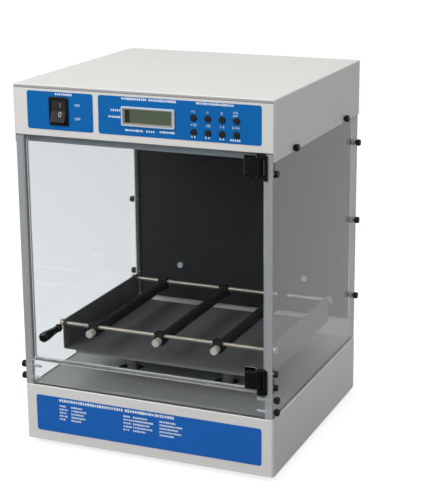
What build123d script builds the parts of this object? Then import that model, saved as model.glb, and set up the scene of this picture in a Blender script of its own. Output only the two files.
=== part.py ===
from build123d import *
import os

os.makedirs("parts", exist_ok=True)

# Incubated benchtop shaker, in millimetres.
# X runs to the right, the front faces -Y and Z is up.
# The origin is the centre of the footprint, on the bench.

# ---- overall sizes ----
WIDTH = 350.0
DEPTH = 335.0
HEIGHT = 485.0
FOOT_H = 8.0
FOOT_D = 22.0
FOOT_INSET = 38.0
SHEET = 1.5
CORNER_R = 4.0
FOLD_R = 2.0
RUN_FIT = 0.05
MOVE_GAP = 0.3

# ---- base ----
BASE_H = 77.0
PLATE_RIM = 14.0
VENT_L = 34.0
VENT_W = 4.0
VENT_PITCH = 9.0
VENT_IN = 28.5

# ---- hood ----
HOOD_H = 64.0
SKIRT_DROP = 10.5
CEILING_DROP = 11.0
LID_LIP = 4.0
LID_SEAM = 0.6
FASCIA_RETURN = 16.0

# ---- clear panels ----
WINDOW_T = 10.0
PANEL_EDGE = 0.6
RAIL_H = 34.0
DOOR_T = 6.0
DOOR_GAP = 1.5

# ---- thumbscrews that hold the clear panels ----
SCREW_D = 4.0
SCREW_FIT = 0.1
HEAD_D = 9.0
HEAD_L = 7.0
HEAD_NECK_D = 6.0
HEAD_NECK_L = 1.5
SKIRT_SCREW_IN = 67.0
SKIRT_SCREW_UP = 5.2
REAR_SCREW_IN = 8.5
REAR_SCREW_Z = (149.5, 260.5, 371.5)
RAIL_SCREW_UP = (9.0, 25.0)
RAIL_SCREW_L = 11.0

# ---- door, knob and hinges ----
KNOB_IN = 33.5
KNOB_UP = 44.5
KNOB_L = 38.0
KNOB_D = 13.0
KNOB_ROOT_D = 9.0
KNOB_NUT_D = 11.0
KNOB_NUT_L = 3.0
KNOB_STUD_D = 5.0
LEAF_W = 19.0
LEAF_H = 20.8
LEAF_T = 9.0
HINGE_PIN_D = 3.0
PIN_IN = 7.0
KNUCKLE_D = 8.4
EAR_LONG = 7.2
EAR_SHORT = 4.4
BRACKET_WEB = 2.0
BRACKET_D = 10.5
HINGE_INSET = 2.6
HINGE_SCREW_PITCH = 18.0
HINGE_HEAD_D = 8.0
HINGE_HEAD_L = 3.5

# ---- rear wall and its black inner panel ----
REAR_FLANGE = 16.0
BAFFLE_T = 2.0
BAFFLE_STANDOFF = 6.0
BAFFLE_SIDE_GAP = 3.5
BAFFLE_UP = 29.0
BAFFLE_SCREW_X = 93.6
BAFFLE_SCREW_UP = 52.0
CAP_D = 9.0
CAP_L = 3.0
REAR_VENT_X = 60.0
REAR_VENTS = 12

# ---- control panel ----
LABEL_T = 0.5
LABEL_R = 3.0
BASE_LABEL_IN = 16.0
BASE_LABEL_H = 49.5
PANEL_LABEL_H = 48.0
PANEL_Z = 32.4
LEFT_LABEL_IN = 20.0
LEFT_LABEL_END = -63.0
RIGHT_LABEL_START = -55.5
RIGHT_LABEL_IN = 16.0
SWITCH_X = -110.2
SWITCH_W = 26.5
SWITCH_H = 36.0
SWITCH_BODY_W = 22.0
SWITCH_BODY_H = 33.0
SWITCH_DEPTH = 26.0
SWITCH_PROUD = 2.5
ROCKER_W = 20.0
ROCKER_HALF = 14.2
ROCKER_TILT = 9.0
ROCKER_AXLE_D = 3.0
DISPLAY_X = 11.8
BEZEL_W = 71.5
BEZEL_H = 24.4
BEZEL_PROUD = 2.0
LCD_W = 58.0
LCD_H = 15.5
LCD_BODY_W = 76.0
LCD_BODY_H = 31.0
LCD_EDGE = 2.0
KEY_X = 72.0
KEY_PITCH_X = 18.5
KEY_PITCH_Z = 17.3
KEY_D = 8.0
KEY_PROUD = 1.6
KEY_TRAVEL = 0.8
KEY_FLANGE_D = 10.5
KEY_FLANGE_T = 1.0
BOARD_START = -51.0
BOARD_IN = 18.5
BOARD_H = 46.0
BOARD_T = 1.6
BOARD_BACK = 10.0
CAPACITORS = (-60.0, -40.0, 70.0)
CAPACITOR_D = 12.0
PILLAR_D = 6.0

# ---- hood interior ----
FAN_Y = 20.0
FAN_SIZE = 92.0
FAN_T = 25.0
FAN_BORE_D = 86.0
FAN_HUB_D = 34.0
FAN_TIP_GAP = 1.2
FAN_BLADES = 7
FAN_SHAFT_D = 4.0
DUCT_L = 140.0
DUCT_H = 50.0
DUCT_T = 1.0
SLOT_L = 90.0
SLOT_W = 4.0
SLOT_PITCH = 8.0
SLOT_IN = 10.0
SLOT_ROWS = 5
HEATER_D = 7.0
HEATER_UP = 34.0
HEATER_IN = 18.0
HEATER_BEND = 12.0
HEATER_TAIL_X = 22.0
SUPPLY_W = 42.0
SUPPLY_L = 120.0
SUPPLY_H = 40.0
SUPPLY_GAP = 4.0
SUPPLY_TO_DUCT = 6.0
INLET_X = -110.0
INLET_UP = 29.0
INLET_W = 27.0
INLET_HT = 19.5
INLET_FLANGE_W = 48.0
INLET_FLANGE_T = 3.0
INLET_DEPTH = 22.0

# ---- orbital drive ----
ECCENTRIC = 5.0
POST_D = 16.0
POST_GAP = 4.0
MAIN_SHAFT_D = 12.0
MAIN_PIN_D = 10.0
MAIN_BEARING_D = 28.0
MAIN_BEARING_H = 8.0
MAIN_HUB_D = 44.0
MAIN_FLANGE_D = 76.0
IDLER_SHAFT_D = 8.0
IDLER_BEARING_D = 22.0
IDLER_BEARING_H = 7.0
IDLER_HUB_D = 30.0
IDLER_FLANGE_D = 42.0
IDLER_REAR_IN = 75.5
FLANGE_T = 5.0
BEARING_UP = 32.5
PULLEY_D = 90.0
PULLEY_H = 12.0
PULLEY_LIP = 2.0
PULLEY_FACE = 9.0
PULLEY_GAP = 2.0
CRANK_WEB = 6.0
COUNTERWEIGHT_R = 40.0
MOTOR_IN = 57.0
MOTOR_D = 60.0
MOTOR_H = 28.0
MOTOR_FLANGE = 72.0
MOTOR_FLANGE_T = 2.5
MOTOR_SHAFT_D = 6.0
MOTOR_PULLEY_D = 24.0
BELT_T = 1.6
BELT_W = 8.0
FRAME_T = 4.0
FRAME_ARM = 30.0
FRAME_BOSS_H = 9.5
FRAME_GAP = 0.5

# ---- platform, tray and clamp bars ----
PLATFORM_SIDE_IN = 16.0
PLATFORM_END_IN = 2.0
PLATFORM_T = 4.0
PLATFORM_Z = 116.0
TRAY_SIDE_GAP = 19.5
TRAY_END_GAP = 52.0
TRAY_SHIFT = -4.0
TRAY_WALL = 40.0
TRAY_T = 1.5
TRAY_BEND_R = 2.5
ROD_D = 5.0
ROD_DROP = 6.0
ROD_FRONT_IN = 6.5
ROD_REAR_IN = 5.5
ROD_NUT_D = 10.0
ROD_NUT_L = 6.0
BAR_X = (-100.0, -4.0, 78.0)
BAR_DROP = 5.8
SLEEVE_D = 14.0
BLOCK_W = 12.0
BLOCK_L = 12.0
BLOCK_H = 16.0
TIE_D = 5.0
TIE_KNOB_D = 10.0
TIE_KNOB_L = 10.0

# ---- derived places ----
SIDE = WIDTH / 2
FRONT = -DEPTH / 2
REAR = DEPTH / 2
BASE_TOP = FOOT_H + BASE_H
FLOOR_TOP = FOOT_H + SHEET
FASCIA_Z = HEIGHT - HOOD_H
SKIRT_Z = FASCIA_Z - SKIRT_DROP
CEILING_Z = FASCIA_Z - CEILING_DROP
CEILING_TOP = CEILING_Z + SHEET
WIN_OUT = SIDE - SHEET
WIN_IN = WIN_OUT - WINDOW_T
WIN_TOP = FASCIA_Z - SHEET
FASCIA_TOP = HEIGHT - LID_LIP - LID_SEAM
FASCIA_BACK = FRONT + SHEET
LABEL_FACE = FRONT - LABEL_T
PANEL_MID = FASCIA_Z + PANEL_Z
RAIL_BACK = FRONT + WINDOW_T
RAIL_TOP = BASE_TOP + RAIL_H
REAR_IN = REAR - SHEET
BAFFLE_BACK = REAR_IN - BAFFLE_STANDOFF
BAFFLE_FACE = BAFFLE_BACK - BAFFLE_T
REAR_SCREW_Y = REAR - REAR_SCREW_IN
RAIL_SCREW_Y = FRONT + WINDOW_T / 2
SKIRT_SCREW_Y = REAR - SKIRT_SCREW_IN
SKIRT_SCREW_Z = SKIRT_Z + SKIRT_SCREW_UP
VENT_Y = REAR - VENT_IN

DOOR_FRONT = FRONT + DOOR_T
DOOR_BACK = DOOR_FRONT + DOOR_T
DOOR_LEFT = -WIN_IN + DOOR_GAP
DOOR_RIGHT = WIN_IN - BRACKET_WEB - DOOR_GAP
DOOR_BOTTOM = RAIL_TOP + DOOR_GAP
DOOR_TOP = FASCIA_Z - DOOR_GAP
PIN_X = WIN_IN - PIN_IN
PIN_Y = DOOR_FRONT - LEAF_T / 2
KNOB_X = DOOR_LEFT + KNOB_IN
KNOB_Z = BASE_TOP + RAIL_H + KNOB_UP

POST_X = 0.2 * WIDTH
POST_Y = round(0.182 * DEPTH)
IDLER_REAR_Y = REAR - IDLER_REAR_IN
MOTOR_X = MOTOR_IN - SIDE
POST_HOLE_D = POST_D + 2 * ECCENTRIC + 2 * POST_GAP
BEARING_TOP = FLOOR_TOP + BEARING_UP
PULLEY_Z = BEARING_TOP + PULLEY_GAP
PULLEY_TOP = PULLEY_Z + PULLEY_H
WEB_TOP = PULLEY_TOP + CRANK_WEB
FRAME_BOSS_Z = WEB_TOP + FRAME_GAP
FRAME_Z = FRAME_BOSS_Z + (FRAME_BOSS_H - FRAME_T) / 2 - 1.0
FRAME_BOSS_TOP = FRAME_BOSS_Z + FRAME_BOSS_H
IDLERS = ((-POST_X, -POST_Y), (POST_X, -POST_Y), (0.0, IDLER_REAR_Y))
REST_Y = ECCENTRIC
TRAY_X = 2 * (WIN_IN - TRAY_SIDE_GAP)
TRAY_Y = DEPTH - 2 * TRAY_END_GAP
TRAY_MID_Y = REST_Y + TRAY_SHIFT
PLATFORM_X = TRAY_X - 2 * PLATFORM_SIDE_IN
PLATFORM_Y = TRAY_Y - 2 * PLATFORM_END_IN
PLATFORM_TOP = PLATFORM_Z + PLATFORM_T
TRAY_TOP = PLATFORM_TOP + TRAY_WALL
ROD_Z = TRAY_TOP - ROD_DROP
BAR_Z = ROD_Z - BAR_DROP
ROD_Y = (TRAY_MID_Y - TRAY_Y / 2 + ROD_FRONT_IN, TRAY_MID_Y + TRAY_Y / 2 - ROD_REAR_IN)
SUPPLY_X = WIN_IN - SHEET - SUPPLY_GAP - SUPPLY_W
DUCT_W = 2 * (SUPPLY_X - SUPPLY_TO_DUCT)
DUCT_FRONT = FAN_Y - DUCT_L / 2
DUCT_REAR = FAN_Y + DUCT_L / 2
HEATER_Z = CEILING_TOP + HEATER_UP
BOARD_W = WIN_OUT - BOARD_IN - BOARD_START
BOARD_X = BOARD_START + BOARD_W / 2


def save(piece, name):
    piece.part.label = name
    export_step(piece.part, "parts/" + name + ".step")


def slab(x0, x1, y0, y1, z0, z1, mode=Mode.ADD):
    # one rectangular block between two corners, in the open part builder
    with Locations(((x0 + x1) / 2, (y0 + y1) / 2, (z0 + z1) / 2)):
        Box(x1 - x0, y1 - y0, z1 - z0, mode=mode)


def drum(x, y, z0, z1, diameter, mode=Mode.ADD):
    # one upright cylinder in the open part builder
    with BuildSketch(Plane.XY.offset(z0)) as disc:
        with Locations((x, y)):
            Circle(diameter / 2)
    extrude(disc.sketch, amount=z1 - z0, mode=mode)


def side_plane(x, y, z, outward):
    # plane that looks along +X or -X, for screws that enter from a side
    return Plane(origin=(x, y, z), x_dir=(0, 1, 0), z_dir=(outward, 0, 0))


def front_plane(y):
    # sketch x is the object's X and sketch y is its Z, extruding towards -Y
    return Plane(origin=(0, y, 0), x_dir=(1, 0, 0), z_dir=(0, -1, 0))


# ======================= base =======================

with BuildPart() as base_shell:
    with BuildSketch(Plane.XY.offset(FOOT_H)):
        RectangleRounded(WIDTH, DEPTH, CORNER_R)
    extrude(amount=BASE_H)
    fillet(base_shell.edges().group_by(Axis.Z)[-1], FOLD_R)
    with BuildSketch(Plane.XY.offset(FOOT_H)):
        RectangleRounded(WIDTH - 2 * SHEET, DEPTH - 2 * SHEET, CORNER_R - SHEET)
    extrude(amount=BASE_H - SHEET, mode=Mode.SUBTRACT)
    with BuildSketch(Plane.XY.offset(BASE_TOP - SHEET)):
        with GridLocations(2 * POST_X, 2 * POST_Y, 2, 2):
            Circle(POST_HOLE_D / 2)
    extrude(amount=SHEET, mode=Mode.SUBTRACT)
save(base_shell, "base_shell")

with BuildPart() as base_plate:
    with BuildSketch(Plane.XY.offset(FOOT_H)):
        RectangleRounded(WIDTH - 2 * SHEET, DEPTH - 2 * SHEET, CORNER_R - SHEET)
    extrude(amount=PLATE_RIM)
    with BuildSketch(Plane.XY.offset(FLOOR_TOP)):
        RectangleRounded(WIDTH - 4 * SHEET, DEPTH - 4 * SHEET, CORNER_R - 2 * SHEET)
    extrude(amount=PLATE_RIM - SHEET, mode=Mode.SUBTRACT)
    with BuildSketch(Plane.XY.offset(FOOT_H)):
        for side in (-1, 1):
            with Locations((0, side * VENT_Y)):
                with GridLocations(VENT_PITCH, 1, 9, 1):
                    SlotOverall(VENT_L, VENT_W, rotation=90)
    extrude(amount=SHEET, mode=Mode.SUBTRACT)
save(base_plate, "base_plate")

with BuildPart() as rubber_feet:
    with BuildSketch(Plane.XY.offset(FOOT_H)):
        with GridLocations(WIDTH - 2 * FOOT_INSET, DEPTH - 2 * FOOT_INSET, 2, 2):
            Circle(FOOT_D / 2)
    extrude(amount=-FOOT_H, taper=6)
save(rubber_feet, "rubber_feet")

with BuildPart() as label_plates:
    with BuildSketch(front_plane(FRONT)):
        with Locations((0, FOOT_H + BASE_H / 2)):
            RectangleRounded(WIDTH - 2 * BASE_LABEL_IN, BASE_LABEL_H, LABEL_R)
        for x0, x1 in ((LEFT_LABEL_IN - SIDE, LEFT_LABEL_END), (RIGHT_LABEL_START, SIDE - RIGHT_LABEL_IN)):
            with Locations(((x0 + x1) / 2, PANEL_MID)):
                RectangleRounded(x1 - x0, PANEL_LABEL_H, LABEL_R)
        with Locations((SWITCH_X, PANEL_MID)):
            Rectangle(SWITCH_BODY_W, SWITCH_BODY_H, mode=Mode.SUBTRACT)
        with Locations((DISPLAY_X, PANEL_MID)):
            Rectangle(LCD_W + 4 * LCD_EDGE, LCD_H + 2 * LCD_EDGE, mode=Mode.SUBTRACT)
        with Locations((KEY_X + 1.5 * KEY_PITCH_X, PANEL_MID - 5)):
            with GridLocations(KEY_PITCH_X, KEY_PITCH_Z, 4, 2):
                Circle(KEY_D / 2 + MOVE_GAP, mode=Mode.SUBTRACT)
    extrude(amount=LABEL_T)
save(label_plates, "label_plates")

# ======================= clear chamber panels =======================


def screw_points(side):
    # (seat x, y, z, shank length) of every thumbscrew on one side
    points = [(SIDE, y, SKIRT_SCREW_Z, WINDOW_T) for y in (-SKIRT_SCREW_Y, SKIRT_SCREW_Y)]
    for z in REAR_SCREW_Z:
        points.append((WIN_OUT, REAR_SCREW_Y, z, WINDOW_T + SHEET + 1.0))
    for up in RAIL_SCREW_UP:
        points.append((WIN_OUT, RAIL_SCREW_Y, BASE_TOP + up, WINDOW_T + RAIL_SCREW_L))
    return [(side * x, y, z, length) for x, y, z, length in points]


def hinge_spans():
    # (lower ear bottom, leaf bottom, leaf top, upper ear top) of both hinges
    low = DOOR_BOTTOM + HINGE_INSET
    high = DOOR_TOP - HINGE_INSET - LEAF_H - 2.9
    return ((low - EAR_LONG, low, low + LEAF_H, low + LEAF_H + EAR_SHORT),
            (high - EAR_SHORT, high, high + LEAF_H, high + LEAF_H + EAR_LONG - 0.8))


HINGE_SCREW_Y = DOOR_FRONT + BRACKET_D / 2 - 2.5
HINGE_SCREWS = []
for span in hinge_spans():
    for way in (-1, 1):
        HINGE_SCREWS.append((span[1] + span[2]) / 2 + way * HINGE_SCREW_PITCH / 2)


def bore_side(x_outer, y, z, length, outward, diameter):
    # a screw hole bored inward from an outer face
    with BuildSketch(side_plane(x_outer, y, z, outward)) as disc:
        Circle(diameter / 2)
    extrude(disc.sketch, amount=-length, mode=Mode.SUBTRACT)


def make_window(side):
    with BuildPart() as window:
        slab(min(side * WIN_IN, side * WIN_OUT), max(side * WIN_IN, side * WIN_OUT),
             FRONT, REAR, BASE_TOP, WIN_TOP)
        chamfer(window.edges().filter_by(Axis.Z), PANEL_EDGE)
        for x, y, z, length in screw_points(side):
            deep = min(length + abs(WIN_OUT) - abs(x), WINDOW_T)
            bore_side(side * WIN_OUT, y, z, deep, side, SCREW_D + 2 * SCREW_FIT)
        if side > 0:
            for z in HINGE_SCREWS:
                bore_side(WIN_OUT, HINGE_SCREW_Y, z, WINDOW_T, 1, SCREW_D + 2 * SCREW_FIT)
    return window


side_window_left = make_window(-1)
save(side_window_left, "side_window_left")
side_window_right = make_window(1)
save(side_window_right, "side_window_right")

with BuildPart() as front_lower_rail:
    slab(-WIN_IN, WIN_IN, FRONT, RAIL_BACK, BASE_TOP, RAIL_TOP)
    chamfer(front_lower_rail.edges().filter_by(Axis.X).group_by(Axis.Z)[-1], PANEL_EDGE)
    for side in (-1, 1):
        for up in RAIL_SCREW_UP:
            bore_side(side * WIN_IN, RAIL_SCREW_Y, BASE_TOP + up, RAIL_SCREW_L, side,
                      SCREW_D + 2 * SCREW_FIT)
    # notch that the lower hinge bracket stands in
    slab(PIN_X - KNUCKLE_D / 2 - MOVE_GAP, WIN_IN, FRONT, RAIL_BACK, hinge_spans()[0][0], RAIL_TOP,
         mode=Mode.SUBTRACT)
save(front_lower_rail, "front_lower_rail")

with BuildPart() as window_thumbscrews:
    for side in (-1, 1):
        for x, y, z, length in screw_points(side):
            with BuildSketch(side_plane(x, y, z, side)):
                Circle(HEAD_NECK_D / 2)
            extrude(amount=HEAD_NECK_L)
            with BuildSketch(side_plane(x + side * HEAD_NECK_L, y, z, side)):
                Circle(HEAD_D / 2)
                with PolarLocations(HEAD_D / 2, 12):
                    Circle(0.45, mode=Mode.SUBTRACT)
            extrude(amount=HEAD_L - HEAD_NECK_L)
            with BuildSketch(side_plane(x, y, z, side)):
                Circle(SCREW_D / 2)
            extrude(amount=-length)
save(window_thumbscrews, "window_thumbscrews")

# ======================= rear wall =======================

with BuildPart() as rear_panel:
    slab(-WIN_IN, WIN_IN, REAR_IN, REAR, BASE_TOP, WIN_TOP)
    slab(-WIN_OUT, WIN_OUT, REAR_IN, REAR, WIN_TOP, HEIGHT - SHEET)
    for side in (-1, 1):
        slab(min(side * WIN_IN, side * (WIN_IN - SHEET)), max(side * WIN_IN, side * (WIN_IN - SHEET)),
             REAR_IN - REAR_FLANGE, REAR_IN, BASE_TOP, CEILING_Z - SHEET)
        for z in REAR_SCREW_Z:
            bore_side(side * WIN_IN, REAR_SCREW_Y, z, SHEET, side, SCREW_D + 2 * SCREW_FIT)
    with BuildSketch(Plane(origin=(0, REAR_IN, 0), x_dir=(-1, 0, 0), z_dir=(0, 1, 0))):
        with Locations((-INLET_X, FASCIA_Z + INLET_UP)):
            Rectangle(INLET_W, INLET_HT)
        with Locations((-REAR_VENT_X, FASCIA_Z + INLET_UP)):
            with GridLocations(VENT_PITCH, 1, REAR_VENTS, 1):
                SlotOverall(VENT_L, VENT_W, rotation=90)
    extrude(amount=SHEET, mode=Mode.SUBTRACT)
save(rear_panel, "rear_panel")

BAFFLE_W = 2 * (WIN_IN - BAFFLE_SIDE_GAP)
BAFFLE_SCREW_Z = BASE_TOP + BAFFLE_UP + BAFFLE_SCREW_UP
with BuildPart() as baffle_panel:
    slab(-BAFFLE_W / 2, BAFFLE_W / 2, BAFFLE_FACE, BAFFLE_BACK, BASE_TOP + BAFFLE_UP, CEILING_Z)
    with BuildSketch(front_plane(BAFFLE_BACK)):
        with Locations((-BAFFLE_SCREW_X, BAFFLE_SCREW_Z), (BAFFLE_SCREW_X, BAFFLE_SCREW_Z)):
            Circle(SCREW_D / 2 + SCREW_FIT)
    extrude(amount=BAFFLE_T, mode=Mode.SUBTRACT)
save(baffle_panel, "baffle_panel")

with BuildPart() as baffle_screws:
    for x in (-BAFFLE_SCREW_X, BAFFLE_SCREW_X):
        with BuildSketch(front_plane(REAR_IN)):
            with Locations((x, BAFFLE_SCREW_Z)):
                Circle(CAP_D / 2)
        extrude(amount=BAFFLE_STANDOFF)
        with BuildSketch(front_plane(BAFFLE_BACK)):
            with Locations((x, BAFFLE_SCREW_Z)):
                Circle(SCREW_D / 2)
        extrude(amount=BAFFLE_T)
        with BuildSketch(front_plane(BAFFLE_FACE)):
            with Locations((x, BAFFLE_SCREW_Z)):
                Circle(CAP_D / 2)
        extrude(amount=CAP_L, taper=12)
save(baffle_screws, "baffle_screws")

# ======================= door =======================

with BuildPart() as door_panel:
    slab(DOOR_LEFT, DOOR_RIGHT, DOOR_FRONT, DOOR_BACK, DOOR_BOTTOM, DOOR_TOP)
    fillet(door_panel.edges().filter_by(Axis.Y), 2.0)
    chamfer(door_panel.faces().sort_by(Axis.Y)[0].edges() + door_panel.faces().sort_by(Axis.Y)[-1].edges(),
            PANEL_EDGE)
    with BuildSketch(front_plane(DOOR_BACK)):
        with Locations((KNOB_X, KNOB_Z)):
            Circle(KNOB_STUD_D / 2 + SCREW_FIT)
    extrude(amount=DOOR_T, mode=Mode.SUBTRACT)
save(door_panel, "door_panel")

with BuildPart() as door_knob:
    with BuildSketch(Plane(origin=(KNOB_X, DOOR_FRONT, KNOB_Z), x_dir=(1, 0, 0), z_dir=(0, 0, 1))):
        with BuildLine():
            Polyline((0, 0), (KNOB_ROOT_D / 2, 0), (KNOB_ROOT_D / 2, -6), (KNOB_D / 2, 10 - KNOB_L),
                     (KNOB_D / 2, 4 - KNOB_L))
            Line((KNOB_D / 2 - 4, -KNOB_L), (0, -KNOB_L))
            Line((0, -KNOB_L), (0, 0))
            RadiusArc((KNOB_D / 2, 4 - KNOB_L), (KNOB_D / 2 - 4, -KNOB_L), 4)
        make_face()
    revolve(axis=Axis((KNOB_X, DOOR_FRONT, KNOB_Z), (0, 1, 0)))
    with BuildSketch(front_plane(DOOR_BACK + KNOB_NUT_L)):
        with Locations((KNOB_X, KNOB_Z)):
            Circle(KNOB_STUD_D / 2)
    extrude(amount=DOOR_T + KNOB_NUT_L)
    with BuildSketch(front_plane(DOOR_BACK + KNOB_NUT_L)):
        with Locations((KNOB_X, KNOB_Z)):
            RegularPolygon(KNOB_NUT_D / 2, 6)
    extrude(amount=KNOB_NUT_L)
save(door_knob, "door_knob")

with BuildPart() as hinge_leaves:
    for span in hinge_spans():
        with BuildSketch(Plane.XY.offset(span[1])):
            with BuildLine():
                Polyline((PIN_X, PIN_Y - KNUCKLE_D / 2), (PIN_X - LEAF_W + 1.5, PIN_Y - LEAF_T / 2),
                         (PIN_X - LEAF_W, PIN_Y - LEAF_T / 2 + 1.5), (PIN_X - LEAF_W, DOOR_FRONT),
                         (PIN_X - KNUCKLE_D / 2, DOOR_FRONT), (PIN_X, PIN_Y + KNUCKLE_D / 2))
                Line((PIN_X, PIN_Y + KNUCKLE_D / 2), (PIN_X, PIN_Y - KNUCKLE_D / 2))
            make_face()
            with Locations((PIN_X, PIN_Y)):
                Circle(KNUCKLE_D / 2)
                Circle(HINGE_PIN_D / 2 + RUN_FIT, mode=Mode.SUBTRACT)
        extrude(amount=LEAF_H)
save(hinge_leaves, "hinge_leaves")

with BuildPart() as hinge_brackets:
    for span in hinge_spans():
        slab(WIN_IN - BRACKET_WEB, WIN_IN, DOOR_FRONT - 2.5, DOOR_FRONT - 2.5 + BRACKET_D, span[0], span[3])
        for z0, z1 in ((span[0], span[1] - MOVE_GAP), (span[2] + MOVE_GAP, span[3])):
            with BuildSketch(Plane.XY.offset(z0)):
                with Locations((PIN_X, PIN_Y)):
                    Circle(KNUCKLE_D / 2 - 0.2)
                with Locations(((PIN_X + WIN_IN) / 2, PIN_Y)):
                    Rectangle(WIN_IN - PIN_X, KNUCKLE_D - 0.4)
                with Locations((PIN_X, PIN_Y)):
                    Circle(HINGE_PIN_D / 2, mode=Mode.SUBTRACT)
            extrude(amount=z1 - z0)
    for z in HINGE_SCREWS:
        bore_side(WIN_IN, HINGE_SCREW_Y, z, BRACKET_WEB, 1, SCREW_D + 2 * SCREW_FIT)
save(hinge_brackets, "hinge_brackets")

with BuildPart() as hinge_fasteners:
    for span in hinge_spans():
        drum(PIN_X, PIN_Y, span[0], span[3], HINGE_PIN_D)
    for z in HINGE_SCREWS:
        with BuildSketch(side_plane(WIN_OUT, HINGE_SCREW_Y, z, 1)):
            Circle(SCREW_D / 2)
        extrude(amount=-(WINDOW_T + BRACKET_WEB))
        if z < SKIRT_Z - HINGE_HEAD_D / 2:
            with BuildSketch(side_plane(WIN_OUT, HINGE_SCREW_Y, z, 1)):
                Circle(HINGE_HEAD_D / 2)
            extrude(amount=HINGE_HEAD_L)
save(hinge_fasteners, "hinge_fasteners")

# ======================= hood =======================

with BuildPart() as hood_shell:
    slab(-SIDE, SIDE, FRONT, REAR, SKIRT_Z, HEIGHT)
    fillet(hood_shell.edges().group_by(Axis.Z)[-1].filter_by(Axis.Y), FOLD_R)
    fillet(hood_shell.edges().filter_by(Axis.X).group_by(Axis.Z)[-1].sort_by(Axis.Y)[0], FOLD_R)
    slab(-WIN_OUT, WIN_OUT, FASCIA_BACK, REAR, SKIRT_Z, HEIGHT - SHEET, mode=Mode.SUBTRACT)
    slab(-WIN_OUT, WIN_OUT, FRONT, FASCIA_BACK, SKIRT_Z, HEIGHT - LID_LIP, mode=Mode.SUBTRACT)
    for side in (-1, 1):
        for y in (-SKIRT_SCREW_Y, SKIRT_SCREW_Y):
            bore_side(side * SIDE, y, SKIRT_SCREW_Z, SHEET, side, SCREW_D + 2 * SCREW_FIT)
save(hood_shell, "hood_shell")

with BuildPart() as hood_fascia:
    slab(-WIN_OUT, WIN_OUT, FRONT, FASCIA_BACK, FASCIA_Z, FASCIA_TOP)
    slab(-WIN_OUT, WIN_OUT, FASCIA_BACK, DOOR_BACK + 2.5, FASCIA_Z, FASCIA_Z + SHEET)
    for side in (-1, 1):
        slab(min(side * WIN_OUT, side * (WIN_OUT - SHEET)), max(side * WIN_OUT, side * (WIN_OUT - SHEET)),
             FASCIA_BACK, FASCIA_BACK + FASCIA_RETURN, FASCIA_Z + SHEET, FASCIA_TOP)
    with BuildSketch(front_plane(FASCIA_BACK)):
        with Locations((SWITCH_X, PANEL_MID)):
            Rectangle(SWITCH_BODY_W, SWITCH_BODY_H)
        with Locations((DISPLAY_X, PANEL_MID)):
            Rectangle(LCD_W + 4 * LCD_EDGE, LCD_H + 2 * LCD_EDGE)
        with Locations((KEY_X + 1.5 * KEY_PITCH_X, PANEL_MID - 5)):
            with GridLocations(KEY_PITCH_X, KEY_PITCH_Z, 4, 2):
                Circle(KEY_D / 2 + MOVE_GAP)
    extrude(amount=SHEET, mode=Mode.SUBTRACT)
save(hood_fascia, "hood_fascia")

PAN_FRONT = DOOR_BACK + 2.5
with BuildPart() as ceiling_pan:
    slab(-WIN_IN, WIN_IN, PAN_FRONT, REAR_IN, CEILING_Z, CEILING_TOP)
    slab(-WIN_IN, WIN_IN, PAN_FRONT, PAN_FRONT + SHEET, CEILING_TOP, FASCIA_Z + CEILING_DROP)
    for side in (-1, 1):
        slab(min(side * WIN_IN, side * (WIN_IN - SHEET)), max(side * WIN_IN, side * (WIN_IN - SHEET)),
             PAN_FRONT, REAR_IN, CEILING_TOP, WIN_TOP)
        slab(min(side * WIN_OUT, side * (WIN_IN - SHEET)), max(side * WIN_OUT, side * (WIN_IN - SHEET)),
             PAN_FRONT, REAR_IN, WIN_TOP, FASCIA_Z)
    with BuildSketch(Plane.XY.offset(CEILING_Z)):
        for ring in (12, 22, 32):
            with Locations((0, FAN_Y)):
                Circle(ring + 7)
                Circle(ring, mode=Mode.SUBTRACT)
        with Locations((0, FAN_Y)):
            Rectangle(FAN_SIZE, 5, rotation=45, mode=Mode.SUBTRACT)
            Rectangle(FAN_SIZE, 5, rotation=-45, mode=Mode.SUBTRACT)
        for side in (-1, 1):
            for step in range(SLOT_ROWS):
                with Locations((side * (DUCT_W / 2 - SLOT_IN - step * SLOT_PITCH), FAN_Y)):
                    SlotOverall(SLOT_L, SLOT_W, rotation=90)
    extrude(amount=SHEET, mode=Mode.SUBTRACT)
save(ceiling_pan, "ceiling_pan")

# ======================= hood interior =======================

FAN_TOP = CEILING_TOP + FAN_T
with BuildPart() as fan_housing:
    with BuildSketch(Plane.XY.offset(CEILING_TOP)):
        with Locations((0, FAN_Y)):
            RectangleRounded(FAN_SIZE, FAN_SIZE, 5)
            Circle(FAN_BORE_D / 2, mode=Mode.SUBTRACT)
    extrude(amount=FAN_T)
    with BuildSketch(Plane.XY.offset(FAN_TOP - 4)):
        with Locations((0, FAN_Y)):
            Circle(FAN_HUB_D / 2)
            Rectangle(FAN_BORE_D + 1, 4, rotation=30)
            Rectangle(FAN_BORE_D + 1, 4, rotation=120)
    extrude(amount=4)
    drum(0, FAN_Y, CEILING_TOP + 6, FAN_TOP - 4, FAN_SHAFT_D)
save(fan_housing, "fan_housing")

with BuildPart() as fan_rotor:
    drum(0, FAN_Y, CEILING_TOP + 3, FAN_TOP - 4 - MOVE_GAP, FAN_HUB_D - 2)
    for blade in range(FAN_BLADES):
        turn = 360 / FAN_BLADES * blade
        with BuildSketch(Plane(origin=(0, FAN_Y, CEILING_TOP + 4)).rotated((0, 0, turn))):
            with Locations((29, 0)):
                Rectangle(28, 1.8, rotation=-4)
        with BuildSketch(Plane(origin=(0, FAN_Y, CEILING_TOP + 18)).rotated((0, 0, turn + 16))):
            with Locations((29, 0)):
                Rectangle(FAN_BORE_D - FAN_HUB_D - 2 * FAN_TIP_GAP - 24, 1.8, rotation=4)
        loft()
    with BuildSketch(Plane.XY.offset(CEILING_TOP + 6 - MOVE_GAP)):
        with Locations((0, FAN_Y)):
            Circle(FAN_SHAFT_D / 2 + RUN_FIT)
    extrude(amount=FAN_T, mode=Mode.SUBTRACT)
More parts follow.
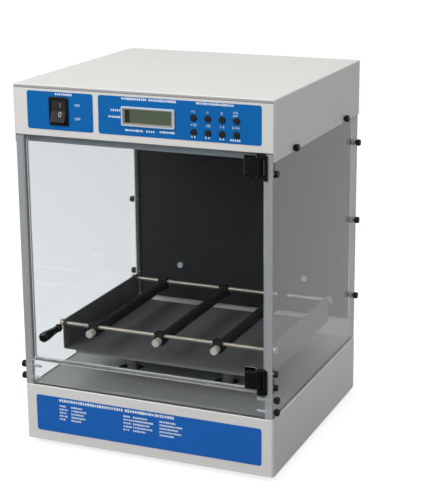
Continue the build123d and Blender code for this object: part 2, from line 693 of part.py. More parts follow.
save(fan_rotor, "fan_rotor")

with BuildPart() as air_duct:
    slab(-DUCT_W / 2, DUCT_W / 2, DUCT_FRONT, DUCT_REAR, CEILING_TOP, CEILING_TOP + DUCT_H)
    slab(-DUCT_W / 2 + DUCT_T, DUCT_W / 2 - DUCT_T, DUCT_FRONT + DUCT_T, DUCT_REAR - DUCT_T,
         CEILING_TOP, CEILING_TOP + DUCT_H - DUCT_T, mode=Mode.SUBTRACT)
    with BuildSketch(Plane(origin=(0, DUCT_REAR, 0), x_dir=(-1, 0, 0), z_dir=(0, 1, 0))):
        with Locations((-HEATER_TAIL_X, HEATER_Z), (HEATER_TAIL_X, HEATER_Z)):
            Circle(HEATER_D / 2 + SCREW_FIT)
    extrude(amount=-DUCT_T, mode=Mode.SUBTRACT)
save(air_duct, "air_duct")

LOOP_X = DUCT_W / 2 - HEATER_IN
LOOP_FRONT = DUCT_FRONT + HEATER_IN
LOOP_REAR = DUCT_REAR - HEATER_IN - 4
with BuildPart() as heater_element:
    with BuildLine(Plane.XY.offset(HEATER_Z)) as heater_path:
        FilletPolyline((-HEATER_TAIL_X, DUCT_REAR + 8), (-HEATER_TAIL_X, LOOP_REAR), (-LOOP_X, LOOP_REAR),
                       (-LOOP_X, LOOP_FRONT), (LOOP_X, LOOP_FRONT), (LOOP_X, LOOP_REAR),
                       (HEATER_TAIL_X, LOOP_REAR), (HEATER_TAIL_X, DUCT_REAR + 8), radius=HEATER_BEND)
    with BuildSketch(Plane(origin=(-HEATER_TAIL_X, DUCT_REAR + 8, HEATER_Z), x_dir=(1, 0, 0),
                           z_dir=(0, -1, 0))):
        Circle(HEATER_D / 2)
    sweep(path=heater_path.wires()[0])
save(heater_element, "heater_element")

with BuildPart() as power_supply:
    slab(SUPPLY_X, SUPPLY_X + SUPPLY_W, -SUPPLY_L / 2, SUPPLY_L / 2,
         CEILING_TOP, CEILING_TOP + SUPPLY_H)
    with BuildSketch(Plane.XY.offset(CEILING_TOP + SUPPLY_H)):
        with Locations((SUPPLY_X + SUPPLY_W / 2, 0)):
            with GridLocations(1, 10, 1, 9):
                SlotOverall(SUPPLY_W - 10, 4)
    extrude(amount=-3, mode=Mode.SUBTRACT)
save(power_supply, "power_supply")

BOARD_FACE = FASCIA_BACK + BOARD_BACK
KEY_POINTS = []
for row in (1, -1):
    for column in range(4):
        KEY_POINTS.append((KEY_X + column * KEY_PITCH_X, PANEL_MID - 5 + row * KEY_PITCH_Z / 2))
KEY_END = BOARD_FACE - 4 - KEY_TRAVEL - MOVE_GAP
with BuildPart() as control_board:
    slab(BOARD_X - BOARD_W / 2, BOARD_X + BOARD_W / 2, BOARD_FACE, BOARD_FACE + BOARD_T,
         PANEL_MID - BOARD_H / 2, PANEL_MID + BOARD_H / 2)
    with BuildSketch(front_plane(BOARD_FACE)):
        with Locations((BOARD_X, PANEL_MID)):
            with GridLocations(BOARD_W - 10, BOARD_H - 8, 2, 2):
                Circle(PILLAR_D / 2)
    extrude(amount=BOARD_BACK)
    with BuildSketch(front_plane(BOARD_FACE)):
        with Locations(*KEY_POINTS):
            Rectangle(6, 6)
    extrude(amount=4)
    with BuildSketch(front_plane(BOARD_FACE + BOARD_T)):
        for capacitor_x in CAPACITORS:
            with Locations((BOARD_X + capacitor_x, PANEL_MID - 3)):
                Circle(CAPACITOR_D / 2)
    extrude(amount=-12)
save(control_board, "control_board")

with BuildPart() as lcd_module:
    slab(DISPLAY_X - LCD_BODY_W / 2, DISPLAY_X + LCD_BODY_W / 2, FASCIA_BACK, BOARD_FACE,
         PANEL_MID - LCD_BODY_H / 2, PANEL_MID + LCD_BODY_H / 2)
    slab(DISPLAY_X - LCD_W / 2 - LCD_EDGE, DISPLAY_X + LCD_W / 2 + LCD_EDGE, LABEL_FACE, FASCIA_BACK,
         PANEL_MID - LCD_H / 2 - LCD_EDGE / 2, PANEL_MID + LCD_H / 2 + LCD_EDGE / 2)
save(lcd_module, "lcd_module")

with BuildPart() as display_bezel:
    with BuildSketch(front_plane(LABEL_FACE)):
        with Locations((DISPLAY_X, PANEL_MID)):
            RectangleRounded(BEZEL_W, BEZEL_H, 2)
            Rectangle(LCD_W, LCD_H, mode=Mode.SUBTRACT)
    extrude(amount=BEZEL_PROUD)
    chamfer(display_bezel.faces().sort_by(Axis.Y)[0].edges(), 0.8)
    with BuildSketch(front_plane(FASCIA_BACK)):
        with Locations((DISPLAY_X, PANEL_MID)):
            Rectangle(LCD_W + 4 * LCD_EDGE, LCD_H + 2 * LCD_EDGE)
            Rectangle(LCD_W + 2 * LCD_EDGE, LCD_H + LCD_EDGE, mode=Mode.SUBTRACT)
    extrude(amount=SHEET + LABEL_T)
save(display_bezel, "display_bezel")

for index, (key_x, key_z) in enumerate(KEY_POINTS):
    with BuildPart() as key:
        with BuildSketch(front_plane(KEY_END)):
            with Locations((key_x, key_z)):
                Circle(KEY_D / 2)
        extrude(amount=KEY_END - LABEL_FACE + KEY_PROUD)
        fillet(key.faces().sort_by(Axis.Y)[0].edges(), 0.5)
        with BuildSketch(front_plane(FASCIA_BACK + MOVE_GAP + KEY_FLANGE_T)):
            with Locations((key_x, key_z)):
                Circle(KEY_FLANGE_D / 2)
        extrude(amount=KEY_FLANGE_T)
    save(key, "key_" + str(index + 1))

SWITCH_FACE = LABEL_FACE - SWITCH_PROUD
PIVOT_Y = LABEL_FACE + 1.0
POCKET_H = 2 * (ROCKER_HALF + 0.9)
with BuildPart() as switch_housing:
    with BuildSketch(front_plane(LABEL_FACE)):
        with Locations((SWITCH_X, PANEL_MID)):
            RectangleRounded(SWITCH_W, SWITCH_H, 2)
    extrude(amount=SWITCH_PROUD)
    chamfer(switch_housing.faces().sort_by(Axis.Y)[0].edges(), 0.8)
    slab(SWITCH_X - SWITCH_BODY_W / 2, SWITCH_X + SWITCH_BODY_W / 2, LABEL_FACE, LABEL_FACE + SWITCH_DEPTH,
         PANEL_MID - SWITCH_BODY_H / 2, PANEL_MID + SWITCH_BODY_H / 2)
    slab(SWITCH_X - ROCKER_W / 2 - MOVE_GAP, SWITCH_X + ROCKER_W / 2 + MOVE_GAP, SWITCH_FACE, LABEL_FACE + 10,
         PANEL_MID - POCKET_H / 2, PANEL_MID + POCKET_H / 2, mode=Mode.SUBTRACT)
    with BuildSketch(side_plane(SWITCH_X + SWITCH_BODY_W / 2 - 0.1, PIVOT_Y, PANEL_MID, 1)):
        Circle(ROCKER_AXLE_D / 2 + RUN_FIT)
    extrude(amount=-(SWITCH_BODY_W - 0.2), mode=Mode.SUBTRACT)
save(switch_housing, "switch_housing")

rocker_plane = Plane(origin=(SWITCH_X - ROCKER_W / 2, PIVOT_Y, PANEL_MID), x_dir=(0, 0, 1),
                     z_dir=(1, 0, 0)).rotated((-ROCKER_TILT, 0, 0))
with BuildPart() as switch_rocker:
    # sketch x is up the panel and sketch y points out of it, before the tilt
    with BuildSketch(rocker_plane):
        with BuildLine():
            Polyline((-ROCKER_HALF, 4.7), (0, 2.4), (ROCKER_HALF, 4.7), (ROCKER_HALF - 1.2, -3),
                     (5, -6), (-5, -6), (1.2 - ROCKER_HALF, -3), (-ROCKER_HALF, 4.7))
        make_face()
    extrude(amount=ROCKER_W)
    with BuildSketch(side_plane(SWITCH_X + SWITCH_BODY_W / 2 - 0.2, PIVOT_Y, PANEL_MID, 1)):
        Circle(ROCKER_AXLE_D / 2)
    extrude(amount=-(SWITCH_BODY_W - 0.4))
save(switch_rocker, "switch_rocker")

INLET_Z = FASCIA_Z + INLET_UP
with BuildPart() as power_inlet:
    slab(INLET_X - INLET_W / 2, INLET_X + INLET_W / 2, REAR - INLET_DEPTH, REAR,
         INLET_Z - INLET_HT / 2, INLET_Z + INLET_HT / 2)
    with BuildSketch(Plane(origin=(0, REAR, 0), x_dir=(-1, 0, 0), z_dir=(0, 1, 0))):
        with Locations((-INLET_X, INLET_Z)):
            SlotOverall(INLET_FLANGE_W, INLET_HT + 4)
    extrude(amount=INLET_FLANGE_T)
    with BuildSketch(Plane(origin=(0, REAR + INLET_FLANGE_T, 0), x_dir=(-1, 0, 0), z_dir=(0, 1, 0))):
        with Locations((-INLET_X, INLET_Z)):
            Rectangle(INLET_W - 3, INLET_HT - 3)
    extrude(amount=-(INLET_DEPTH - 4), mode=Mode.SUBTRACT)
    with BuildSketch(Plane(origin=(0, REAR - INLET_DEPTH + 7, 0), x_dir=(-1, 0, 0), z_dir=(0, 1, 0))):
        with Locations((-INLET_X - 7, INLET_Z - 2), (-INLET_X, INLET_Z + 2), (-INLET_X + 7, INLET_Z - 2)):
            Rectangle(2, 4)
    extrude(amount=INLET_DEPTH - 11.5)
save(power_inlet, "power_inlet")

# ======================= fixed side of the drive =======================

with BuildPart() as drive_motor:
    with BuildSketch(Plane.XY.offset(FLOOR_TOP)):
        with Locations((MOTOR_X, 0)):
            RectangleRounded(MOTOR_FLANGE, MOTOR_FLANGE, 8)
            with GridLocations(MOTOR_FLANGE - 12, MOTOR_FLANGE - 12, 2, 2):
                Circle(2.2, mode=Mode.SUBTRACT)
    extrude(amount=MOTOR_FLANGE_T)
    drum(MOTOR_X, 0, FLOOR_TOP + MOTOR_FLANGE_T, FLOOR_TOP + MOTOR_FLANGE_T + MOTOR_H, MOTOR_D)
    fillet(drive_motor.faces().sort_by(Axis.Z)[-1].edges(), 2.5)
    drum(MOTOR_X, 0, FLOOR_TOP + MOTOR_FLANGE_T + MOTOR_H, BEARING_TOP, 18)
    drum(MOTOR_X, 0, FLOOR_TOP + 10, BEARING_TOP, MOTOR_SHAFT_D + 2 * RUN_FIT, mode=Mode.SUBTRACT)
save(drive_motor, "drive_motor")

with BuildPart() as bearing_housings:
    drum(0, 0, FLOOR_TOP, FLOOR_TOP + FLANGE_T, MAIN_FLANGE_D)
    drum(0, 0, FLOOR_TOP + FLANGE_T, BEARING_TOP, MAIN_HUB_D)
    drum(0, 0, FLOOR_TOP, BEARING_TOP, MAIN_BEARING_D, mode=Mode.SUBTRACT)
    with BuildSketch(Plane.XY.offset(FLOOR_TOP)):
        with PolarLocations((MAIN_FLANGE_D + MAIN_HUB_D) / 4, 6):
            Circle(2.2)
    extrude(amount=FLANGE_T, mode=Mode.SUBTRACT)
    for x, y in IDLERS:
        drum(x, y, FLOOR_TOP, FLOOR_TOP + FLANGE_T, IDLER_FLANGE_D)
        drum(x, y, FLOOR_TOP + FLANGE_T, BEARING_TOP, IDLER_HUB_D)
        drum(x, y, FLOOR_TOP, BEARING_TOP, IDLER_BEARING_D, mode=Mode.SUBTRACT)
save(bearing_housings, "bearing_housings")

with BuildPart() as base_bearings:
    for z in (FLOOR_TOP + 2, BEARING_TOP - MAIN_BEARING_H):
        drum(0, 0, z, z + MAIN_BEARING_H, MAIN_BEARING_D)
        drum(0, 0, z, z + MAIN_BEARING_H, MAIN_SHAFT_D + 2 * RUN_FIT, mode=Mode.SUBTRACT)
    for x, y in IDLERS:
        for z in (FLOOR_TOP + 2, BEARING_TOP - IDLER_BEARING_H):
            drum(x, y, z, z + IDLER_BEARING_H, IDLER_BEARING_D)
            drum(x, y, z, z + IDLER_BEARING_H, IDLER_SHAFT_D + 2 * RUN_FIT, mode=Mode.SUBTRACT)
save(base_bearings, "base_bearings")

BELT_Z = PULLEY_Z + (PULLEY_H - BELT_W) / 2
with BuildPart() as drive_belt:
    with BuildSketch(Plane.XY.offset(BELT_Z)):
        Circle(PULLEY_D / 2 + MOVE_GAP + BELT_T)
        with Locations((MOTOR_X, 0)):
            Circle(MOTOR_PULLEY_D / 2 + MOVE_GAP + BELT_T)
        make_hull()
    extrude(amount=BELT_W)
    with BuildSketch(Plane.XY.offset(BELT_Z)):
        Circle(PULLEY_D / 2 + MOVE_GAP)
        with Locations((MOTOR_X, 0)):
            Circle(MOTOR_PULLEY_D / 2 + MOVE_GAP)
        make_hull()
    extrude(amount=BELT_W, mode=Mode.SUBTRACT)
save(drive_belt, "drive_belt")

# ======================= rotating side of the drive =======================


def rimmed_pulley(x, y, diameter, bore, lighten):
    # pulley with two low flanges that keep the belt on its face
    lip = (PULLEY_H - PULLEY_FACE) / 2
    with BuildPart() as pulley:
        drum(x, y, PULLEY_Z, PULLEY_TOP, diameter)
        drum(x, y, PULLEY_Z, PULLEY_Z + lip, diameter + 2 * PULLEY_LIP)
        drum(x, y, PULLEY_TOP - lip, PULLEY_TOP, diameter + 2 * PULLEY_LIP)
        if lighten:
            with BuildSketch(Plane.XY.offset(PULLEY_Z)):
                with Locations((x, y)):
                    with PolarLocations(diameter * 0.31, 6):
                        Circle(diameter * 0.1)
            extrude(amount=PULLEY_H, mode=Mode.SUBTRACT)
        drum(x, y, PULLEY_Z, PULLEY_TOP, bore, mode=Mode.SUBTRACT)
    return pulley


driven_pulley = rimmed_pulley(0, 0, PULLEY_D, MAIN_SHAFT_D, True)
save(driven_pulley, "driven_pulley")

with BuildPart() as main_crank:
    drum(0, 0, FLOOR_TOP + 2, PULLEY_TOP, MAIN_SHAFT_D)
    with BuildSketch(Plane.XY.offset(PULLEY_TOP)):
        Circle(COUNTERWEIGHT_R)
        with Locations((0, COUNTERWEIGHT_R - 8)):
            Rectangle(2 * COUNTERWEIGHT_R, 2 * COUNTERWEIGHT_R, mode=Mode.SUBTRACT)
        with Locations((0, ECCENTRIC)):
            Circle(MAIN_PIN_D / 2 + 6)
        with Locations((0, -5)):
            Rectangle(MAIN_PIN_D + 12, 16)
    extrude(amount=CRANK_WEB)
    drum(0, ECCENTRIC, WEB_TOP, FRAME_BOSS_TOP, MAIN_PIN_D)
save(main_crank, "main_crank")

with BuildPart() as motor_pulley:
    lip_h = (PULLEY_H - PULLEY_FACE) / 2
    drum(MOTOR_X, 0, PULLEY_Z, PULLEY_TOP, MOTOR_PULLEY_D)
    drum(MOTOR_X, 0, PULLEY_Z, PULLEY_Z + lip_h, MOTOR_PULLEY_D + 2 * PULLEY_LIP)
    drum(MOTOR_X, 0, PULLEY_TOP - lip_h, PULLEY_TOP, MOTOR_PULLEY_D + 2 * PULLEY_LIP)
    drum(MOTOR_X, 0, FLOOR_TOP + 10 + MOVE_GAP, PULLEY_Z, MOTOR_SHAFT_D)
save(motor_pulley, "motor_pulley")

for index, (x, y) in enumerate(IDLERS):
    with BuildPart() as idler_crank:
        drum(x, y, FLOOR_TOP + 2, PULLEY_Z, IDLER_SHAFT_D)
        with BuildSketch(Plane.XY.offset(PULLEY_Z)):
            with Locations((x, y + ECCENTRIC / 2)):
                SlotCenterToCenter(ECCENTRIC, IDLER_SHAFT_D + 8, rotation=90)
        extrude(amount=CRANK_WEB)
        drum(x, y + ECCENTRIC, PULLEY_Z + CRANK_WEB, FRAME_BOSS_TOP, IDLER_SHAFT_D)
    save(idler_crank, "idler_crank_" + str(index + 1))

# ======================= moving platform =======================

PINS = [(0.0, 0.0, MAIN_BEARING_D - 2, MAIN_PIN_D)]
PINS += [(x, y, IDLER_BEARING_D, IDLER_SHAFT_D) for x, y in IDLERS]
with BuildPart() as drive_frame:
    with BuildSketch(Plane.XY.offset(FRAME_Z)):
        with Locations((0, REST_Y)):
            Rectangle(2 * POST_X + FRAME_ARM, FRAME_ARM)
        for side in (-1, 1):
            with Locations((side * POST_X, REST_Y)):
                RectangleRounded(FRAME_ARM, 2 * POST_Y + FRAME_ARM, 6)
        with Locations((0, REST_Y + IDLER_REAR_Y / 2)):
            Rectangle(FRAME_ARM, IDLER_REAR_Y)
        with Locations((0, REST_Y + IDLER_REAR_Y)):
            Circle(FRAME_ARM / 2)
    extrude(amount=FRAME_T)
    for x, y, bearing, pin in PINS:
        drum(x, y + REST_Y, FRAME_BOSS_Z, FRAME_BOSS_TOP, bearing + 8)
    for x, y, bearing, pin in PINS:
        drum(x, y + REST_Y, FRAME_BOSS_Z, FRAME_BOSS_TOP, bearing, mode=Mode.SUBTRACT)
save(drive_frame, "drive_frame")

with BuildPart() as frame_bearings:
    for x, y, bearing, pin in PINS:
        drum(x, y + REST_Y, FRAME_BOSS_Z + 1, FRAME_BOSS_TOP - 1, bearing)
        drum(x, y + REST_Y, FRAME_BOSS_Z + 1, FRAME_BOSS_TOP - 1, pin + 2 * RUN_FIT, mode=Mode.SUBTRACT)
save(frame_bearings, "frame_bearings")

with BuildPart() as platform_plate:
    with BuildSketch(Plane.XY.offset(PLATFORM_Z)):
        with Locations((0, TRAY_MID_Y)):
            RectangleRounded(PLATFORM_X, PLATFORM_Y, 3)
    extrude(amount=PLATFORM_T)
    with BuildSketch(Plane.XY.offset(PLATFORM_Z)):
        with Locations((0, REST_Y)):
            with GridLocations(2 * POST_X, 2 * POST_Y, 2, 2):
                Circle(POST_D / 2)
    extrude(amount=FRAME_BOSS_TOP - PLATFORM_Z)
    with BuildSketch(Plane.XY.offset(FRAME_Z + FRAME_T)):
        for side in (-1, 1):
            with Locations((side * POST_X, REST_Y + POST_Y)):
                Circle(POST_D / 2)
    extrude(amount=FRAME_BOSS_TOP - FRAME_Z - FRAME_T)
save(platform_plate, "platform_plate")

with BuildPart() as tray:
    # one folded sheet: the section across the tray, drawn from the top of one wall to the other
    with BuildSketch(front_plane(TRAY_MID_Y + TRAY_Y / 2)):
        with BuildLine() as fold:
            FilletPolyline((-TRAY_X / 2, TRAY_TOP), (-TRAY_X / 2, PLATFORM_TOP),
                           (TRAY_X / 2, PLATFORM_TOP), (TRAY_X / 2, TRAY_TOP), radius=TRAY_BEND_R)
            offset(amount=TRAY_T, side=Side.LEFT)
        make_face()
    extrude(amount=TRAY_Y)
    for rod_y in ROD_Y:
        with BuildSketch(side_plane(TRAY_X / 2, rod_y, ROD_Z, 1)):
            Circle(ROD_D / 2 + SCREW_FIT)
        extrude(amount=-TRAY_X, mode=Mode.SUBTRACT)
save(tray, "tray")

with BuildPart() as cross_rods:
    for rod_y in ROD_Y:
        with BuildSketch(side_plane(TRAY_X / 2 + ROD_NUT_L, rod_y, ROD_Z, 1)):
            Circle(ROD_D / 2)
        extrude(amount=-(TRAY_X + 2 * ROD_NUT_L))
        for side in (-1, 1):
            with BuildSketch(side_plane(side * TRAY_X / 2, rod_y, ROD_Z, side)):
                Circle(ROD_NUT_D / 2)
            extrude(amount=ROD_NUT_L)
save(cross_rods, "cross_rods")

# ======================= clamp bars =======================

SLEEVE_Y0 = ROD_Y[0] + BLOCK_L / 2
SLEEVE_Y1 = ROD_Y[1] - BLOCK_L / 2
TIE_Y0 = ROD_Y[0] - BLOCK_L / 2
TIE_Y1 = ROD_Y[1] + BLOCK_L / 2
for index, bar_x in enumerate(BAR_X):
    with BuildPart() as clamp_bar:
        with BuildSketch(front_plane(SLEEVE_Y1)):
            with Locations((bar_x, BAR_Z)):
                Circle(SLEEVE_D / 2)
        extrude(amount=SLEEVE_Y1 - SLEEVE_Y0)
        for rod_y in ROD_Y:
            slab(bar_x - BLOCK_W / 2, bar_x + BLOCK_W / 2, rod_y - BLOCK_L / 2, rod_y + BLOCK_L / 2,
                 BAR_Z - BLOCK_H / 2 + 2.5, BAR_Z + BLOCK_H / 2 + 2.5)
        for rod_y in ROD_Y:
            with BuildSketch(side_plane(bar_x + BLOCK_W / 2, rod_y, ROD_Z, 1)):
                Circle(ROD_D / 2 + RUN_FIT)
            extrude(amount=-BLOCK_W, mode=Mode.SUBTRACT)
        with BuildSketch(front_plane(TIE_Y1)):
            with Locations((bar_x, BAR_Z)):
                Circle(TIE_D / 2 + RUN_FIT)
        extrude(amount=TIE_Y1 - TIE_Y0, mode=Mode.SUBTRACT)
    save(clamp_bar, "clamp_bar_" + str(index + 1))

    with BuildPart() as tie_rod:
        with BuildSketch(front_plane(TIE_Y1 + MOVE_GAP)):
            with Locations((bar_x, BAR_Z)):
                Circle(TIE_D / 2)
        extrude(amount=TIE_Y1 - TIE_Y0 + 2 * MOVE_GAP)
        for knob_y in (TIE_Y0 - MOVE_GAP, TIE_Y1 + MOVE_GAP + TIE_KNOB_L):
            with BuildSketch(front_plane(knob_y)):
                with Locations((bar_x, BAR_Z)):
                    Circle(TIE_KNOB_D / 2)
                    with PolarLocations(TIE_KNOB_D / 2, 12):
                        Circle(0.5, mode=Mode.SUBTRACT)
            extrude(amount=TIE_KNOB_L)
    save(tie_rod, "tie_rod_" + str(index + 1))
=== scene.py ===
"""Finishes, fine pieces and studio of an incubated benchtop shaker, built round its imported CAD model."""

import math

import bmesh
import bpy
from mathutils import Matrix, Vector


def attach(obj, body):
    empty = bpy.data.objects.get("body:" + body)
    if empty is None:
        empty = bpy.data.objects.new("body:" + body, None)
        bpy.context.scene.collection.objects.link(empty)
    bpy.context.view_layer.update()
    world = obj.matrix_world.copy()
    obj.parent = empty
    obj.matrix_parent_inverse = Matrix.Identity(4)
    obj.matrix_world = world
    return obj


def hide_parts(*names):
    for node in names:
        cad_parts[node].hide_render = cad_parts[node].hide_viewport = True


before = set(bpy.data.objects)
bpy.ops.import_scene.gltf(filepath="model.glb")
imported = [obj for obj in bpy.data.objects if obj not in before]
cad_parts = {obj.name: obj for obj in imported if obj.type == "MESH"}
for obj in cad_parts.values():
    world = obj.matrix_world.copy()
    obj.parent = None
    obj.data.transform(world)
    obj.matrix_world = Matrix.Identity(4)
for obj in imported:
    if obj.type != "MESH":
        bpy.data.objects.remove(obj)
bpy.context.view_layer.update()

bl_info = {
    "name": "Incubated benchtop shaker",
    "version": (1, 0, 0),
    "blender": (4, 5, 0),
    "location": "View3D > Sidebar > Shaker",
    "description": "Finishes, fasteners, printed marks and studio of an incubated benchtop shaker",
    "category": "Object",
}

MM = 0.001
ACRYLIC_IOR = 1.49
# how far, in millimetres, a surface may lie off the level or the sheet face that a mask looks for
LEVEL_SLACK, FACE_SLACK = 0.3, 0.05

# ---- places shared with the CAD model, in millimetres ----
FRONT, REAR, SIDE = -167.5, 167.5, 175.0
WINDOW_IN, WINDOW_OUT = 163.5, 173.5
BASE_BOTTOM, BASE_TOP, RAIL_TOP, RAIL_BACK = 8.0, 85.0, 119.0, -157.5
DOOR_FACE, DOOR_BACK, DOOR_TOP = -161.5, -155.5, 420.0
FLOOR_FRONT, FLOOR_BACK, FLOOR_SIDE = -166.0, 158.0, 172.0
LABEL_FACE, BEZEL_FACE = -168.0, -170.0
DISPLAY_X, PANEL_MID, AHEAD = 11.8, 453.4, -300.0
BEZEL_W, BEZEL_H = 71.5, 24.4
BEVEL_W, BEVEL_H = 66.4, 19.9
LCD_SEEN_W, LCD_SEEN_H = 61.8, 16.2
DARK_STRIP_W = 6.2
KEY_X, KEY_STEP = 72.0, 18.5
PAD_LEFT, PAD_RIGHT, PAD_T = 134.6, 150.0, 1.5
PAD_Z = ((121.2, 149.0), (389.8, 416.0))
CHEEK_Z = ((117.0, 149.0), (387.0, 418.0))
THUMB_SEATS = (
    [(SIDE, y, 415.7) for y in (-100.5, 100.5)]
    + [(WINDOW_OUT, 159.0, z) for z in (149.5, 260.5, 371.5)]
    + [(WINDOW_OUT, -162.5, z) for z in (94.0, 110.0)]
)
REAR_SEATS = [(x, REAR, z) for x in (-150, -40, 150) for z in (478.0, 424.5)]
INLET_SEATS = [(x, REAR + 1.9, 450.0) for x in (-130.0, -90.0)]
PLATE_SEATS = [(x, y, BASE_BOTTOM) for x in (-165, 0, 165) for y in (-155, 155)]

# ---- printed marks: size of text over the height of its figures, and a stroke's share of its pitch ----
TEXT_RISE = 1.38
STROKE_SHARE = 0.86

# ---- studio, in metres and degrees ----
CAMERA_PLACE, CAMERA_TURN, CAMERA_SHIFT = (0.74571, -1.70485, 0.77589), (75.2283, 0.3378, 22.4033), -0.064
LIT_POINT = (0.0, 0.0, 0.24)
KEY_PLACE, KEY_SIDE = (-1.1, -1.7, 1.5), 1.3
TOP_PLACE, TOP_SIDE = (0.1, -0.2, 2.2), 1.6
FLOOR_NEAR, FLOOR_FAR, FLOOR_HALF, BEND, WALL_TOP = -3.0, 2.4, 4.0, 0.8, 3.2
PAPER_GREY, MIRRORED_GREY = 0.36, 0.02
BEND_STEPS = 12
# what mirrors see grows from dark to grey between two places along Y: on the floor, then in the world
FLOOR_DARK_Y, FLOOR_GREY_Y = -0.25, 0.35
WORLD_DARK_Y, WORLD_GREY_Y, WORLD_DARKEST, WORLD_EXTRA = -0.75, 0.1, 0.03, 0.15


def srgb(code):
    """Linear red, green and blue of an sRGB hex value such as D8D7D3."""
    parts = [int(code[i:i + 2], 16) / 255 for i in (0, 2, 4)]
    return tuple(c / 12.92 if c <= 0.04045 else ((c + 0.055) / 1.055) ** 2.4 for c in parts)


def live_output(node):
    """The first output that a node's settings leave in use."""
    return next(socket for socket in node.outputs if socket.enabled)


def add_node(tree, kind, inputs=None, to=None, **settings):
    """Add one node, set its properties, link or set its inputs, and link its first live output onwards."""
    node = tree.nodes.new(kind)
    for name, value in settings.items():
        setattr(node, name, value)
    for key, value in (inputs or {}).items():
        if isinstance(value, bpy.types.Node):
            value = live_output(value)
        if isinstance(value, bpy.types.NodeSocket):
            tree.links.new(value, node.inputs[key])
        else:
            node.inputs[key].default_value = value
    if to is not None:
        tree.links.new(live_output(node), to)
    return node


# ---- finishes ----

def new_finish(name, colour, roughness, plain=None):
    """A finish with one colour and plain shader values, ready for its patterns."""
    material = bpy.data.materials.new(name)
    material.use_nodes = True
    tree = material.node_tree
    shader = tree.nodes["Principled BSDF"]
    for socket, value in {"Base Color": (*colour, 1), "Roughness": roughness, **(plain or {})}.items():
        shader.inputs[socket].default_value = value
    place = add_node(tree, "ShaderNodeTexCoord").outputs["Object"]
    return material, tree, shader, place


def scaled(colour, share):
    """The same colour, lighter or darker."""
    return tuple(min(1.0, c * share) for c in colour)


def tint_patches(tree, shader, place, size, dark, light):
    """Colour drifts between two tones over patches size millimetres across."""
    noise = add_node(tree, "ShaderNodeTexNoise", {"Vector": place, "Scale": 1 / (size * MM), "Detail": 3.0})
    add_node(
        tree, "ShaderNodeMix", {0: noise, 6: (*dark, 1), 7: (*light, 1)}, shader.inputs["Base Color"],
        data_type="RGBA")


def rough_drift(tree, shader, noise, low, high):
    """Roughness drifts between two values with a noise."""
    add_node(
        tree, "ShaderNodeMapRange",
        {"Value": noise, "From Min": 0.3, "From Max": 0.7, "To Min": low, "To Max": high},
        shader.inputs["Roughness"])


def rough_patches(tree, shader, place, size, low, high):
    """Roughness drifts between two values over patches size millimetres across."""
    noise = add_node(tree, "ShaderNodeTexNoise", {"Vector": place, "Scale": 1 / (size * MM)})
    rough_drift(tree, shader, noise, low, high)


def surface_grain(tree, shader, place, size, height, stretch=(1, 1, 1)):
    """Bumps size millimetres across and height millimetres high, drawn out along one axis where asked."""
    turned = add_node(tree, "ShaderNodeMapping", {"Vector": place, "Scale": stretch})
    noise = add_node(tree, "ShaderNodeTexNoise", {"Vector": turned, "Scale": 1 / (size * MM)})
    add_node(tree, "ShaderNodeBump", {"Height": noise, "Distance": height * MM}, shader.inputs["Normal"])


def merged(tree, operation, first, *others):
    """Several masks made into one: MAXIMUM where any of them is 1, MULTIPLY where all are."""
    for mask in others:
        first = add_node(tree, "ShaderNodeMath", {0: first, 1: mask}, operation=operation)
    return first


def within(tree, place, *limits):
    """1 where the surface lies between a low and a high place, in millimetres, along each axis given."""
    where = add_node(tree, "ShaderNodeSeparateXYZ", {0: place}).outputs
    return merged(tree, "MULTIPLY", *[
        add_node(tree, "ShaderNodeMath",
                 {0: where[axis], 1: (low + high) / 2 * MM, 2: (high - low) / 2 * MM}, operation="COMPARE")
        for axis, low, high in limits])


def paint_over(tree, shader, share, colour):
    """Lay a plain or patterned colour over the one below wherever share is 1."""
    base = shader.inputs["Base Color"]
    below = base.links[0].from_socket if base.is_linked else tuple(base.default_value)
    add_node(tree, "ShaderNodeMix", {0: share, 6: below, 7: colour}, base, data_type="RGBA")


def patchy_finish(name, colour, roughness, tint, rough, grain, plain=None):
    """A finish with drifting colour and gloss and a grained skin; sizes are in millimetres.

    tint: patch size and the darkest and lightest share of the colour. rough: patch size, and how far the
    roughness falls and rises. grain: size, height and how far it is drawn out along each axis.
    """
    material, tree, shader, place = new_finish(name, colour, roughness, plain)
    size, dark, light = tint
    tint_patches(tree, shader, place, size, scaled(colour, dark), scaled(colour, light))
    if rough:
        size, fall, rise = rough
        rough_patches(tree, shader, place, size, roughness - fall, roughness + rise)
    surface_grain(tree, shader, place, *grain)
    return material, tree, shader, place


PAINT_TINT, PAINT_ROUGH = (60, 0.985, 1.015), (14, 0.04, 0.05)


def powder_coat(name, colour):
    # Baked powder paint on folded steel: a soft sheen that the millimetre-wide orange peel breaks up.
    return patchy_finish(name, colour, 0.42, PAINT_TINT, PAINT_ROUGH, (1.2, 0.012))[0]


def front_shaded_coat(name, colour, edge):
    # The same powder paint on the lid, with painted shade on its front-facing edges: they draw a grey line
    # round the panel.
    material, tree, shader, place = patchy_finish(
        name, colour, 0.5, PAINT_TINT, PAINT_ROUGH, (1.2, 0.012), {"Specular IOR Level": 0.25})
    # painted shade: every face of the sheet at the front plane takes the grey edge colour
    paint_over(tree, shader, within(tree, place, ("Y", FRONT - 5, FRONT + LEVEL_SLACK)), (*edge, 1))
    return material


